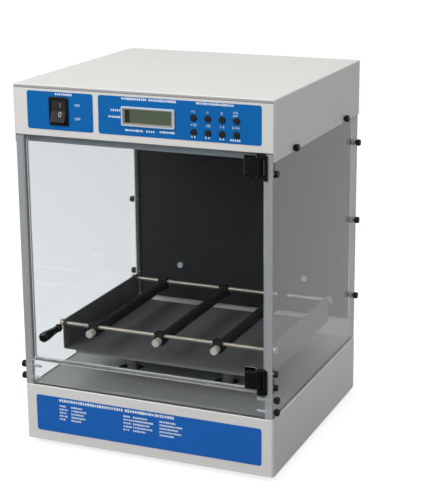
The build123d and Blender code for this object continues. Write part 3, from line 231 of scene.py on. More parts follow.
def floored_coat(name, colour, floor):
    # The same powder paint, and on top the brushed steel floor of the chamber, its lines along the width. The
    # floor's darker colour and its metal share are partly painted shade of the hood over the chamber.
    material, tree, shader, place = patchy_finish(name, colour, 0.42, PAINT_TINT, None, (1.2, 0.01))
    # partly painted shade: the floor is darker than the body paint and half metal, so it mirrors the dark
    # chamber
    mask = within(tree, place, ("X", -FLOOR_SIDE, FLOOR_SIDE), ("Y", FLOOR_FRONT, FLOOR_BACK),
                  ("Z", BASE_TOP - LEVEL_SLACK, BASE_TOP + LEVEL_SLACK))
    lines = add_node(tree, "ShaderNodeMapping", {"Vector": place, "Scale": (1, 60, 1)})
    brushed = add_node(tree, "ShaderNodeTexNoise", {"Vector": lines, "Scale": 1 / (40 * MM), "Detail": 4.0})
    steel = add_node(
        tree, "ShaderNodeMix", {0: brushed, 6: (*scaled(floor, 0.82), 1), 7: (*scaled(floor, 1.18), 1)},
        data_type="RGBA")
    paint_over(tree, shader, mask, steel)
    add_node(tree, "ShaderNodeMath", {0: mask, 1: 0.55}, shader.inputs["Metallic"], operation="MULTIPLY")
    rough_drift(tree, shader, brushed, 0.27, 0.38)
    return material


def textured_coat(name, colour, roughness, grain, shine=0.5):
    # Fine-texture powder paint: a dry, even black or grey with a sandy grain close up.
    return patchy_finish(
        name, colour, roughness, (25, 0.93, 1.07), (6, 0.05, 0.05), grain, {"Specular IOR Level": shine})[0]


def moulded_plastic(name, colour, roughness, grain=(0.45, 0.006), shine=0.5):
    # Injection-moulded ABS or nylon: an even colour with the spark-eroded grain of the mould.
    return patchy_finish(
        name, colour, roughness, (12, 0.92, 1.08), (5, 0.05, 0.06), grain, {"Specular IOR Level": shine})[0]


def moulded_rubber(name, colour, roughness=0.74):
    # Rubber: nearly no gloss, a fine talc-grey bloom in patches and a soft grain.
    return patchy_finish(name, colour, roughness, (7, 0.85, 1.3), (4, 0.06, 0.1), (0.6, 0.02))[0]


def worked_metal(name, colour, roughness, line, stretch=(1, 1, 1), height=0.002, metallic=1.0):
    # Bare metal: tool or polishing lines drawn out along the way it was worked, line millimetres apart.
    return patchy_finish(
        name, colour, roughness, (18, 0.94, 1.05), (3, 0.05, 0.07), (line, height, stretch),
        {"Metallic": metallic})[0]


def galvanised_sheet(name):
    # Hot-dip zinc: leaf-like crystals about 9 mm across, each a little lighter or duller than the next.
    material, tree, shader, place = new_finish(name, srgb("B4B7B9"), 0.4, {"Metallic": 1.0})
    cells = add_node(tree, "ShaderNodeTexVoronoi", {"Vector": place, "Scale": 1 / (9 * MM)})
    tone = add_node(tree, "ShaderNodeSeparateColor", {0: cells.outputs["Color"]})
    add_node(
        tree, "ShaderNodeMix", {0: tone, 6: (*srgb("9FA3A6"), 1), 7: (*srgb("C6C9CA"), 1)},
        shader.inputs["Base Color"], data_type="RGBA")
    add_node(
        tree, "ShaderNodeMapRange", {"Value": tone.outputs[1], "To Min": 0.3, "To Max": 0.52},
        shader.inputs["Roughness"])
    return material


def perforated_sheet(name):
    # Punched aluminium cover: a 4 mm grid of holes in a satin sheet, drawn as near-black discs of painted
    # shade for the dark inside seen through them.
    material, tree, shader, place = new_finish(name, srgb("B9BCBE"), 0.38, {"Metallic": 1.0})
    holes = add_node(
        tree, "ShaderNodeTexVoronoi", {"Vector": place, "Scale": 1 / (4 * MM), "Randomness": 0.0})
    hole_shade = add_node(tree, "ShaderNodeMath", {0: holes, 1: 0.28}, operation="LESS_THAN")
    # painted shade: the holes are coloured near-black
    paint_over(tree, shader, hole_shade, (*srgb("101112"), 1))
    return material


def circuit_laminate(name):
    # Glass-fibre board under green lacquer: paler copper tracks run under it on a 2.5 mm grid.
    material, tree, shader, place = new_finish(name, srgb("17603A"), 0.3)
    add_node(
        tree, "ShaderNodeTexBrick",
        {"Vector": place, "Scale": 1.0, "Color1": (*srgb("17603A"), 1), "Color2": (*srgb("1D6B43"), 1),
         "Mortar": (*srgb("3E8F5C"), 1), "Mortar Size": 0.3 * MM, "Brick Width": 18 * MM,
         "Row Height": 2.5 * MM}, shader.inputs["Base Color"])
    rough_patches(tree, shader, place, 3, 0.24, 0.36)
    return material


def heat_tinted_steel(name):
    # Steel heater sheath: straw and blue temper bands drift along the tube.
    material, tree, shader, place = new_finish(name, srgb("8A8278"), 0.42, {"Metallic": 1.0})
    noise = add_node(tree, "ShaderNodeTexNoise", {"Vector": place, "Scale": 1 / (22 * MM)})
    ramp = add_node(tree, "ShaderNodeValToRGB", {0: noise}, shader.inputs["Base Color"]).color_ramp
    ramp.elements[0].color = (*srgb("5E5A5E"), 1)
    ramp.elements[1].color = (*srgb("A08B6C"), 1)
    return material


def printed_film(name, upper, lower):
    # Screen-printed polyester film: saturated blue with a satin skin, a shade deeper on the base label.
    material, tree, shader, place = new_finish(name, upper, 0.45, {"Specular IOR Level": 0.15})
    where = add_node(tree, "ShaderNodeSeparateXYZ", {0: place})
    height = add_node(
        tree, "ShaderNodeMapRange", {"Value": where.outputs["Z"], "From Min": 80 * MM, "From Max": 420 * MM})
    blue = add_node(tree, "ShaderNodeMix", {0: height, 6: (*lower, 1), 7: (*upper, 1)}, data_type="RGBA")
    noise = add_node(tree, "ShaderNodeTexNoise", {"Vector": place, "Scale": 1 / (30 * MM)})
    drift = add_node(tree, "ShaderNodeMapRange", {"Value": noise, "To Min": 0.97, "To Max": 1.03})
    add_node(
        tree, "ShaderNodeMix", {0: 1.0, 6: blue, 7: drift}, shader.inputs["Base Color"], data_type="RGBA",
        blend_type="MULTIPLY")
    surface_grain(tree, shader, place, 0.8, 0.004)
    return material


def cast_acrylic(name, tint, edge, faces):
    # Cast acrylic sheet: clear through its polished faces, milky along its sawn and chamfered edges.
    # The faces are given as an axis and a distance from the middle of the object, in millimetres.
    material, tree, shader, place = new_finish(
        name, tint, 0.015, {"IOR": ACRYLIC_IOR, "Transmission Weight": 1.0})
    sawn = add_node(
        tree, "ShaderNodeBsdfPrincipled",
        {"Base Color": (*edge, 1), "Roughness": 0.45, "IOR": ACRYLIC_IOR, "Transmission Weight": 0.35})
    where = add_node(tree, "ShaderNodeSeparateXYZ", {0: place}).outputs
    on_faces = []
    for axis, face in faces:
        across = add_node(tree, "ShaderNodeMath", {0: where[axis]}, operation="ABSOLUTE")
        on_faces.append(add_node(tree, "ShaderNodeMath", {0: across, 1: abs(face) * MM, 2: FACE_SLACK * MM},
                                 operation="COMPARE"))
    polished = merged(tree, "MAXIMUM", *on_faces)
    sheet = add_node(tree, "ShaderNodeMixShader", {0: polished, 1: sawn, 2: shader})
    path = add_node(tree, "ShaderNodeLightPath").outputs
    passes = merged(tree, "MAXIMUM", path["Is Shadow Ray"], path["Is Diffuse Ray"])
    clear = add_node(tree, "ShaderNodeBsdfTransparent", {"Color": (0.93, 0.94, 0.94, 1)})
    add_node(
        tree, "ShaderNodeMixShader", {0: passes, 1: sheet, 2: clear},
        tree.nodes["Material Output"].inputs["Surface"])
    return material


def lcd_panel(name):
    # Unlit reflective display: grey-green glass with the black strip of its frame down the left side.
    material, tree, shader, place = new_finish(name, srgb("55614D"), 0.3, {"Coat Weight": 0.6})
    noise = add_node(tree, "ShaderNodeTexNoise", {"Vector": place, "Scale": 1 / (9 * MM)})
    add_node(
        tree, "ShaderNodeMix", {0: noise, 6: (*srgb("505C49"), 1), 7: (*srgb("59664F"), 1)},
        shader.inputs["Base Color"], data_type="RGBA")
    left = DISPLAY_X - LCD_SEEN_W / 2
    paint_over(tree, shader, within(tree, place, ("X", left - 50, left + DARK_STRIP_W)), (*srgb("2C2B27"), 1))
    return material


def silver_bezel(name, rim, lip):
    # Metallised plastic frame: pale rim, and a duller lip where its bevel runs down to the display.
    material, tree, shader, place = new_finish(name, rim, 0.35)
    wide, high = BEVEL_W / 2 + 0.1, BEVEL_H / 2 + 0.1
    on_lip = within(
        tree, place, ("X", DISPLAY_X - wide, DISPLAY_X + wide), ("Z", PANEL_MID - high, PANEL_MID + high))
    paint_over(tree, shader, on_lip, (*lip, 1))
    surface_grain(tree, shader, place, 0.6, 0.003)
    return material


def printed_ink(name, colour, patch, dark, light):
    # Screen or pad ink: opaque, matt, very slightly uneven where the mesh or pad laid it down.
    material, tree, shader, place = new_finish(name, colour, 0.5)
    tint_patches(tree, shader, place, patch, dark, light)
    return material


def dress(material, *nodes):
    """Give CAD nodes a finish through their own material slots."""
    for name in nodes:
        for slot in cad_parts[name].material_slots:
            slot.material = material


# ---- shapes ----

def linked(name, data):
    """A new object in the scene."""
    made = bpy.data.objects.new(name, data)
    bpy.context.scene.collection.objects.link(made)
    return made


def plain_mesh(source):
    """The mesh that an object's modifiers or text give."""
    return bpy.data.meshes.new_from_object(source.evaluated_get(bpy.context.evaluated_depsgraph_get()))


def smooth_but_sharp(mesh, sharp=35):
    """Shade a mesh smooth, but for edges sharper than the given angle."""
    mesh.polygons.foreach_set("use_smooth", [True] * len(mesh.polygons))
    mesh.set_sharp_from_angle(angle=math.radians(sharp))


def finished_object(name, shape, sharp=35):
    """Plain object from a bmesh, its normals outward."""
    bmesh.ops.recalc_face_normals(shape, faces=shape.faces)
    mesh = bpy.data.meshes.new(name)
    shape.to_mesh(mesh)
    shape.free()
    smooth_but_sharp(mesh, sharp)
    return linked(name, mesh)


def settled(piece, body):
    """The piece rides on its CAD body."""
    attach(piece, body)
    return piece


def shaped_piece(name, shape, body, finish, sharp=35):
    """Piece from a bmesh, in its finish, on its body."""
    piece = finished_object(name, shape, sharp)
    piece.data.materials.append(finish)
    return settled(piece, body)


def turned_part(name, profile, segments, depth=0.0):
    """Object turned about Z from (radius, height) points in millimetres, from its bottom to its top.

    A point with True after it is ridged: every other corner of its ring lies depth millimetres deeper.
    """
    shape = bmesh.new()
    rings = []
    for radius, height, *ridged in profile:
        ring = []
        for step in range(segments if radius else 1):
            angle = 2 * math.pi * step / segments
            reach = (radius - (depth if ridged and step % 2 else 0.0)) * MM
            ring.append(shape.verts.new((reach * math.cos(angle), reach * math.sin(angle), height * MM)))
        rings.append(ring)
    for low, high in zip(rings, rings[1:]):
        for step in range(segments):
            after = (step + 1) % segments
            if len(low) == 1:
                shape.faces.new((low[0], high[after], high[step]))
            elif len(high) == 1:
                shape.faces.new((low[step], low[after], high[0]))
            else:
                shape.faces.new((low[step], low[after], high[after], high[step]))
    return finished_object(name, shape)


def slab_into(shape, low, high):
    """Add a closed block between two corners, in millimetres, to a bmesh."""
    corners = [shape.verts.new((x * MM, y * MM, z * MM)) for x in (low[0], high[0]) for y in (low[1], high[1])
               for z in (low[2], high[2])]
    for ring in ((0, 1, 3, 2), (4, 6, 7, 5), (0, 4, 5, 1), (2, 3, 7, 6), (0, 2, 6, 4), (1, 5, 7, 3)):
        shape.faces.new([corners[i] for i in ring])


def loop_into(shape, points, y):
    """Add one upright loop of (x, z) points at a depth y, in millimetres, and return its corners."""
    return [shape.verts.new((x * MM, y * MM, z * MM)) for x, z in points]


def outline_into(shape, points, y_back, y_front):
    """Add a closed flat shape, drawn by (x, z) points in millimetres, that stands out towards the front."""
    back, front = loop_into(shape, points, y_back), loop_into(shape, points, y_front)
    shape.faces.new(back)
    shape.faces.new(list(reversed(front)))
    for i in range(len(points)):
        after = (i + 1) % len(points)
        shape.faces.new((back[i], front[i], front[after], back[after]))


def rounded_outline(x0, x1, z0, z1, radius, steps=5):
    """Corner points (x, z) of an upright rounded rectangle, in millimetres."""
    return [(x + radius * math.cos(math.radians(start + 90 * i / steps)),
             z + radius * math.sin(math.radians(start + 90 * i / steps)))
            for x, z, start in ((x1 - radius, z1 - radius, 0), (x0 + radius, z1 - radius, 90),
                                (x0 + radius, z0 + radius, 180), (x1 - radius, z0 + radius, 270))
            for i in range(steps + 1)]


def figures_into(shape, text, seat, height, thickness, outward=(0, -1, 0)):
    """Add plain figures or I and 0 marks, centred on a seat in millimetres, to a bmesh."""
    curve = bpy.data.curves.new("figures", "FONT")
    curve.body = text
    curve.size = height * TEXT_RISE * MM
    curve.align_x = "CENTER"
    curve.align_y = "CENTER"
    curve.extrude = thickness / 2
    curve.resolution_u = 3
    letters = linked("figures", curve)
    mesh = plain_mesh(letters)
    out = Vector(outward)
    up = out.cross((1, 0, 0))
    turn = Matrix(((1, 0, 0), up, out)).transposed().to_4x4()
    mesh.transform(Matrix.Translation(Vector(seat) * MM + out * thickness / 2) @ turn)
    shape.from_mesh(mesh)
    bpy.data.objects.remove(letters)
    bpy.data.meshes.remove(mesh)


# ---- repeated parts, by geometry nodes ----

def new_tree(name, sockets):
    """Geometry node tree with named inputs, and the outputs of its group input."""
    tree = bpy.data.node_groups.new(name, "GeometryNodeTree")
    for socket, kind in sockets.items():
        tree.interface.new_socket(socket, in_out="INPUT", socket_type="NodeSocket" + kind)
    tree.interface.new_socket("Geometry", in_out="OUTPUT", socket_type="NodeSocketGeometry")
    return tree, add_node(tree, "NodeGroupInput").outputs


def end_tree(tree, copies, finish):
    """Make the copies real, coat them and pass them on."""
    real = add_node(tree, "GeometryNodeRealizeInstances", {"Geometry": copies})
    coated = add_node(tree, "GeometryNodeSetMaterial", {"Geometry": real, "Material": finish})
    add_node(tree, "NodeGroupOutput", {"Geometry": coated})
    return tree


def copies_tree():
    """Node tree that stands a copy of one part on every seat, its Z axis along the seat's outward side."""
    tree, given = new_tree(
        "copies on seats",
        {"Seats": "Geometry", "Part": "Object", "Random turn": "Float", "Seed": "Int", "Finish": "Material"})
    outward = add_node(tree, "GeometryNodeInputNamedAttribute", {"Name": "outward"}, data_type="FLOAT_VECTOR")
    upright = add_node(tree, "FunctionNodeAlignRotationToVector", {"Vector": outward}, axis="Z")
    chance = add_node(
        tree, "FunctionNodeRandomValue", {2: 0.0, 3: given["Random turn"], "Seed": given["Seed"]})
    spin = add_node(tree, "FunctionNodeAxisAngleToRotation", {"Axis": (0, 0, 1), "Angle": chance})
    turned = add_node(
        tree, "FunctionNodeRotateRotation", {"Rotation": upright, "Rotate By": spin}, rotation_space="LOCAL")
    part = add_node(tree, "GeometryNodeObjectInfo", {"Object": given["Part"]})
    copies = add_node(
        tree, "GeometryNodeInstanceOnPoints",
        {"Points": given["Seats"], "Instance": part.outputs["Geometry"], "Rotation": turned})
    return end_tree(tree, copies, given["Finish"])


def strokes_tree():
    """Node tree that prints short strokes of uneven length along a line."""
    tree, given = new_tree(
        "printed strokes",
        {"Line": "Geometry", "Pitch": "Float", "Stroke": "Float", "Height": "Float", "Thickness": "Float",
         "Seed": "Int", "Ink": "Material"})
    curve = add_node(tree, "GeometryNodeMeshToCurve", {"Mesh": given["Line"]})
    steps = add_node(
        tree, "GeometryNodeCurveToPoints", {"Curve": curve, "Length": given["Pitch"]}, mode="LENGTH")
    size = add_node(
        tree, "ShaderNodeCombineXYZ", {"X": given["Stroke"], "Y": given["Thickness"], "Z": given["Height"]})
    stroke = add_node(tree, "GeometryNodeMeshCube", {"Size": size})
    uneven = add_node(
        tree, "FunctionNodeRandomValue", {0: (0.65, 1.0, 0.7), 1: (1.0, 1.0, 1.0), "Seed": given["Seed"]},
        data_type="FLOAT_VECTOR")
    strokes = add_node(
        tree, "GeometryNodeInstanceOnPoints", {"Points": steps, "Instance": stroke, "Scale": uneven})
    return end_tree(tree, strokes, given["Ink"])


def grown(name, base, tree, values, body):
    """Piece that a node tree makes from a base mesh and named inputs, as a plain mesh on its body."""
    holder = linked(name + " base", base)
    modifier = holder.modifiers.new("tree", "NODES")
    modifier.node_group = tree
    for item in tree.interface.items_tree:
        if item.in_out == "INPUT" and item.name in values:
            modifier[item.identifier] = values[item.name]
    mesh = plain_mesh(holder)
    holder.modifiers.remove(modifier)
    bpy.data.objects.remove(holder)
    return settled(linked(name, mesh), body)


def copies_on(name, part, seats, finish, random_turn, seed):
    """One cabinet piece made of copies of a part on seats ((x, y, z), outward); the part is used up."""
    tree = bpy.data.node_groups.get("copies on seats") or copies_tree()
    points = bpy.data.meshes.new(name + " seats")
    points.from_pydata([Vector(place) * MM for place, _ in seats], [], [])
    outward = points.attributes.new("outward", "FLOAT_VECTOR", "POINT")
    for index, (_, way) in enumerate(seats):
        outward.data[index].vector = way
    piece = grown(
        name, points, tree, {"Part": part, "Random turn": random_turn, "Seed": seed, "Finish": finish},
        "cabinet")
    bpy.data.objects.remove(part)
    return piece


def printed_strokes(name, rows, ink, pitch, height, thickness, seed):
    """Plain strokes along rows ((x0, x1, z)) on the front face, in millimetres."""
    tree = bpy.data.node_groups.get("printed strokes") or strokes_tree()
    line = bpy.data.meshes.new(name + " rows")
    y = LABEL_FACE * MM - thickness / 2
    line.from_pydata(
        [(x * MM, y, z * MM) for x0, x1, z in rows for x in (x0, x1)],
        [(2 * i, 2 * i + 1) for i in range(len(rows))], [])
    grown(
        name, line, tree,
        {"Pitch": pitch * MM, "Stroke": pitch * STROKE_SHARE * MM, "Height": height * MM,
         "Thickness": thickness, "Seed": seed, "Ink": ink}, "cabinet")


def pan_screw(diameter, flat=1.0):
    """Domed screw head with a sunk cross, its seat at z = 0; flat presses the dome down."""
    r = diameter / 2
    dome = ((1.0, 0.35), (0.86, 0.55), (0.6, 0.68), (0.3, 0.72), (0, 0.73))
    head = turned_part("pan screw", [(0, -1.0), (r * 0.5, -1.0), (r * 0.5, 0.0), (r, 0.0)]
                       + [(r * out, up * r * flat) for out, up in dome], segments=24)
    for turn in (0, math.pi / 2):
        cut = bmesh.new()
        slab_into(cut, (-r * 0.55, -r * 0.11, r * 0.35 * flat), (r * 0.55, r * 0.11, r))
        bmesh.ops.rotate(cut, verts=cut.verts, cent=(0, 0, 0), matrix=Matrix.Rotation(turn, 3, "Z"))
        tool = finished_object("cross", cut)
        carve = head.modifiers.new("cross", "BOOLEAN")
        carve.operation = "DIFFERENCE"
        carve.solver = "EXACT"
        carve.object = tool
        mesh = plain_mesh(head)
        head.modifiers.remove(carve)
        head.data = mesh
        bpy.data.objects.remove(tool)
    smooth_but_sharp(head.data)
    return head


# ---- settings ----

def colour_setting(name, description, code):
    """A colour that the user may change, with an sRGB hex default."""
    return bpy.props.FloatVectorProperty(
        name=name, description=description, subtype="COLOR", size=3, min=0, max=1, default=srgb(code))


class ShakerColours(bpy.types.PropertyGroup):
    """Colours of the finishes."""
    body: colour_setting("Body paint", "Powder coat of the base, hood and rear wall", "D6D5D2")
    floor: colour_setting("Chamber floor", "Brushed steel sheet under the tray, darker as partly painted shade", "C0C1C0")
    upper_label: colour_setting("Panel label", "Blue film round the controls", "0062AA")
    lower_label: colour_setting("Base label", "Blue film on the front of the base", "1A60B2")
    acrylic: colour_setting("Clear sheet", "Tint of the windows and door", "F4F7F8")
    tray: colour_setting("Tray paint", "Dark satin coat of the tray", "666768")
    nickel: colour_setting("Nickel plate", "Cross rods and their nuts", "B3AA9E")
    satin_nickel: colour_setting("Satin nickel", "Knurled knobs of the clamp bars", "DAD4C8")
    black: colour_setting("Black mouldings", "Hinges, thumbscrews and knob", "0F0F10")
    ink: colour_setting("Ink", "White printed marks", "DDE6EE")


class ShakerDetails(bpy.types.PropertyGroup):
    """Sizes of the fine pieces."""
    thumb_d: bpy.props.FloatProperty(
        name="Thumbscrew head", description="Diameter of the knurled heads", unit="LENGTH", default=9 * MM)
    thumb_ridges: bpy.props.IntProperty(
        name="Knurl ridges", description="Ridges round a thumbscrew head", default=26, min=8, max=60)
    ink_height: bpy.props.FloatProperty(
        name="Ink thickness", description="How far the ink stands off the label", unit="LENGTH",
        default=0.04 * MM)
    small_screw_d: bpy.props.FloatProperty(
        name="Pan head", description="Diameter of the small cross-recess screws", unit="LENGTH",
        default=6 * MM)
    seed: bpy.props.IntProperty(
        name="Seed", description="Seed of the random screw turns", default=7, min=0)


class ShakerStudio(bpy.types.PropertyGroup):
    """Camera and light."""
    lens: bpy.props.FloatProperty(
        name="Lens", description="Focal length in millimetres on a 36 mm sensor", default=102.815, min=10)
    ambient: bpy.props.FloatProperty(
        name="Ambient", description="Strength of the even light from all sides", default=0.64, min=0)
    key_power: bpy.props.FloatProperty(
        name="Key lamp", description="Power of the large lamp at the front left", unit="POWER", default=29.0,
        min=0)
    top_power: bpy.props.FloatProperty(
        name="Top lamp", description="Power of the large lamp overhead", unit="POWER", default=13.0, min=0)
    floor_glow: bpy.props.FloatProperty(
        name="Floor white", description="Share of white that the camera sees in the floor", default=0.8,
        min=0, max=1)
    side_mirror: bpy.props.FloatProperty(
        name="Mirrored side", description="Share of white that mirrors see at the side and back",
        default=0.56, min=0, max=1)


def chosen(context, name):
    """One colour of the settings."""
    return tuple(getattr(context.scene.shaker_colours, name))


# ---- operators ----

class ShakerStep:
    """What every step shares."""
    bl_options = {"REGISTER", "UNDO"}


class SHAKER_OT_painted_sheet(ShakerStep, bpy.types.Operator):
    """Coat the folded sheet metal of the base, hood, rear wall and inner panel"""
    bl_idname = "shaker.painted_sheet"
    bl_label = "Painted sheet metal"

    def execute(self, context):
        paint = chosen(context, "body")
        dress(powder_coat("off-white powder-coated steel", paint), "hood_fascia", "rear_panel")
        # the hood shell's front edges get a grey painted shade
        dress(
            front_shaded_coat("off-white powder-coated steel with bare edges", paint, srgb("A2A3A3")), "hood_shell")
        # painted shade: the ceiling pan is a darker blue-grey than the body, for the shaded band seen under
        # the hood's front through the door
        dress(powder_coat("blue-grey powder-coated steel", srgb("8E979C")), "ceiling_pan")
        dress(
            floored_coat("off-white powder-coated steel with a brushed steel floor", paint,
                         chosen(context, "floor")), "base_shell")
        dress(
            textured_coat("grey textured powder-coated steel", srgb("707274"), 0.55, (0.9, 0.03)),
            "base_plate")
        dress(
            textured_coat("black fine-texture powder-coated steel", srgb("2E2E2F"), 0.55, (0.8, 0.002), 0.2),
            "baffle_panel")
        dress(moulded_plastic("white nylon cap, moulded", srgb("B7C7D1"), 0.35), "baffle_screws")
        return {"FINISHED"}


class SHAKER_OT_clear_panels(ShakerStep, bpy.types.Operator):
    """Finish the clear windows, the fixed front strip and the door"""
    bl_idname = "shaker.clear_panels"
    bl_label = "Clear panels"

    def execute(self, context):
        for nodes, name, edge, faces in (
                (("side_window_left", "side_window_right"), "cast acrylic side windows", "B4B7BA",
                 (("X", WINDOW_IN), ("X", WINDOW_OUT), ("Z", BASE_TOP))),
                (("front_lower_rail",), "cast acrylic front strip", "C6CACC",
                 (("Y", FRONT), ("Y", RAIL_BACK), ("Z", BASE_TOP), ("Z", RAIL_TOP))),
                (("door_panel",), "cast acrylic door", "D4D8DA", (("Y", DOOR_FACE), ("Y", DOOR_BACK)))):
            dress(cast_acrylic(name, chosen(context, "acrylic"), srgb(edge), faces), *nodes)
        return {"FINISHED"}


class SHAKER_OT_thumbscrews(ShakerStep, bpy.types.Operator):
    """Stand a knurled thumbscrew at each fixing point of the clear panels"""
    bl_idname = "shaker.thumbscrews"
    bl_label = "Thumbscrews"

    def execute(self, context):
        details = context.scene.shaker_details
        r = details.thumb_d / MM / 2
        head = turned_part("thumbscrew", (
            (0, -9.5), (1.7, -9.5), (2.0, -9.2), (2.0, -0.05), (3.0, 0.0), (3.0, 1.5), (r - 0.7, 1.5),
            (r, 2.1, True), (r, 6.3, True), (r - 0.55, 6.9), (r - 1.6, 7.0), (r - 1.9, 6.6), (0, 6.5)),
            segments=2 * details.thumb_ridges, depth=0.35)
        seats = [((side * x, y, z), (side, 0, 0)) for side in (-1, 1) for x, y, z in THUMB_SEATS]
        plastic = moulded_plastic(
            "black nylon thumbscrew, moulded", chosen(context, "black"), 0.42, shine=0.35)
        piece = copies_on(
            "knurled_thumbscrews", head, seats, plastic, 2 * math.pi, details.seed)
        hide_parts("window_thumbscrews")
        return {"FINISHED"}


class SHAKER_OT_labels(ShakerStep, bpy.types.Operator):
    """Finish the blue labels and print their plain white marks"""
    bl_idname = "shaker.labels"
    bl_label = "Labels and marks"

    def execute(self, context):
        details, white = context.scene.shaker_details, chosen(context, "ink")
        dress(
            printed_film("blue printed polyester film", chosen(context, "upper_label"),
                         chosen(context, "lower_label")), "label_plates")
        ink = printed_ink("white screen ink", white, 2, scaled(white, 0.93), white)
        thick = details.ink_height
        # rows of strokes: x from, x to and height above the ground
        columns = [(x0, x0 + (x1 - x0) * share, 59.6 - 4.6 * step) for x0, x1 in (
            (-124.0, -113.8), (-106.8, -86.6), (-30.6, -20.0), (-17.0, 9.6), (20.5, 50.6))
            for step, share in enumerate((0.7, 1.0, 0.8, 0.95, 0.6))]
        for index, (name, rows, pitch, height) in enumerate((
                ("panel_titles", ((-22.5, 9.0, 475.0), (14.0, 48.4, 475.0), (76.7, 123.0, 475.2),
                                  (-114.2, -92.6, 474.8)), 2.5, 3.2),
                ("panel_marks", ((-37.4, -26.0, 459.9), (-40.6, -26.2, 451.6), (-18.3, 3.5, 436.2),
                                 (10.2, 19.2, 436.2), (28.0, 45.7, 436.8), (120.2, 131.2, 433.6),
                                 (69.6, 73.4, 434.4), (88.0, 92.0, 434.2), (106.6, 110.4, 433.9)), 2.4, 2.9),
                ("base_title", ((-123.7, -64.8, 67.4), (-61.2, -33.6, 67.4), (-27.8, 10.2, 67.4),
                                (14.8, 38.9, 67.4)), 3.4, 4.4),
                ("base_columns", columns, 2.3, 2.7))):
            printed_strokes(name, rows, ink, pitch, height, thick, details.seed + index)
        # figures: text, x, height above the ground and height of the figures
        last = KEY_X + 3 * KEY_STEP
        marks = [("ON", -84.4, 462.2, 3.4), ("OFF", -84.4, 445.0, 3.4), ("ON", last - 1.5, 466.6, 2.8),
                 ("OFF", last - 1.5, 462.9, 2.8), ("3-4-5", last - 1.2, 448.6, 3.4)]
        for column, (upper, lower) in enumerate((("+1", "+10"), ("-1", "-10"), ("0", "1-2"))):
            x = KEY_X + column * KEY_STEP
            marks += [(upper, x - 0.5, 464.6, 3.5), (lower, x - 0.2, 448.6, 3.5)]
        shape = bmesh.new()
        for text, x, z, height in marks:
            figures_into(shape, text, (x, LABEL_FACE, z), height, thick)
        shaped_piece("panel_figures", shape, "cabinet", ink)
        return {"FINISHED"}


class SHAKER_OT_controls(ShakerStep, bpy.types.Operator):
    """Finish the display, its frame, the keys and the rocker switch"""
    bl_idname = "shaker.controls"
    bl_label = "Display, keys and switch"

    def execute(self, context):
        dress(lcd_panel("unlit liquid-crystal display glass"), "lcd_module")
        # the frame is a closed ring of loops: width, height, corner radius and depth of each
        shape = bmesh.new()
        loops = [
            loop_into(shape, rounded_outline(DISPLAY_X - wide / 2, DISPLAY_X + wide / 2, PANEL_MID - high / 2,
                                             PANEL_MID + high / 2, radius), y)
            for wide, high, radius, y in (
                (BEZEL_W, BEZEL_H, 2.0, LABEL_FACE), (BEZEL_W, BEZEL_H, 2.0, BEZEL_FACE + 0.8),
                (BEZEL_W - 1.2, BEZEL_H - 1.2, 1.4, BEZEL_FACE), (BEVEL_W, BEVEL_H, 0.8, BEZEL_FACE),
                (LCD_SEEN_W, LCD_SEEN_H, 0.3, LABEL_FACE - 0.3), (LCD_SEEN_W, LCD_SEEN_H, 0.3, LABEL_FACE))]
        for near, far in zip(loops, loops[1:] + loops[:1]):
            for i in range(len(near)):
                after = (i + 1) % len(near)
                shape.faces.new((near[i], near[after], far[after], far[i]))
        ring = shaped_piece(
            "display_frame", shape, "cabinet",
            silver_bezel("metallised plastic frame", srgb("B9C8D3"), srgb("8F8B82")), 20)
        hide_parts("display_bezel")
        dress(
            moulded_rubber("black silicone rubber key", srgb("1A1613"), 0.6),
            *[f"key_{i}" for i in range(1, 9)])
        dress(moulded_plastic("black nylon switch frame, moulded", srgb("141312"), 0.35), "switch_housing")
        dress(
            moulded_plastic("dark grey switch rocker, moulded", srgb("2A2A2B"), 0.55, shine=0.2),
            "switch_rocker")
        dress(
            moulded_plastic("black thermoplastic inlet, moulded", chosen(context, "black"), 0.45),
            "power_inlet")
        # I on the upper half of the rocker and 0 on the lower half, each laid on its slanted face
        rocker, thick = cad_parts["switch_rocker"], context.scene.shaker_details.ink_height
        into = rocker.matrix_world.inverted()
        shape = bmesh.new()
        for text, x, z, height in (("I", -107.3, 461.0, 5.5), ("0", -107.6, 449.6, 7.0)):
            hit, place, normal, _ = rocker.ray_cast(into @ (Vector((x, AHEAD, z)) * MM), (0, 1, 0))
            if not hit:
                raise RuntimeError("no rocker face behind the mark " + text)
            figures_into(shape, text, rocker.matrix_world @ place / MM, height, thick, normal)
        shaped_piece("rocker_marks", shape, "rocker",
                     printed_ink("grey pad-printed ink", srgb("A9AEB0"), 1.5, srgb("9CA1A3"), srgb("B0B5B7")))
        return {"FINISHED"}


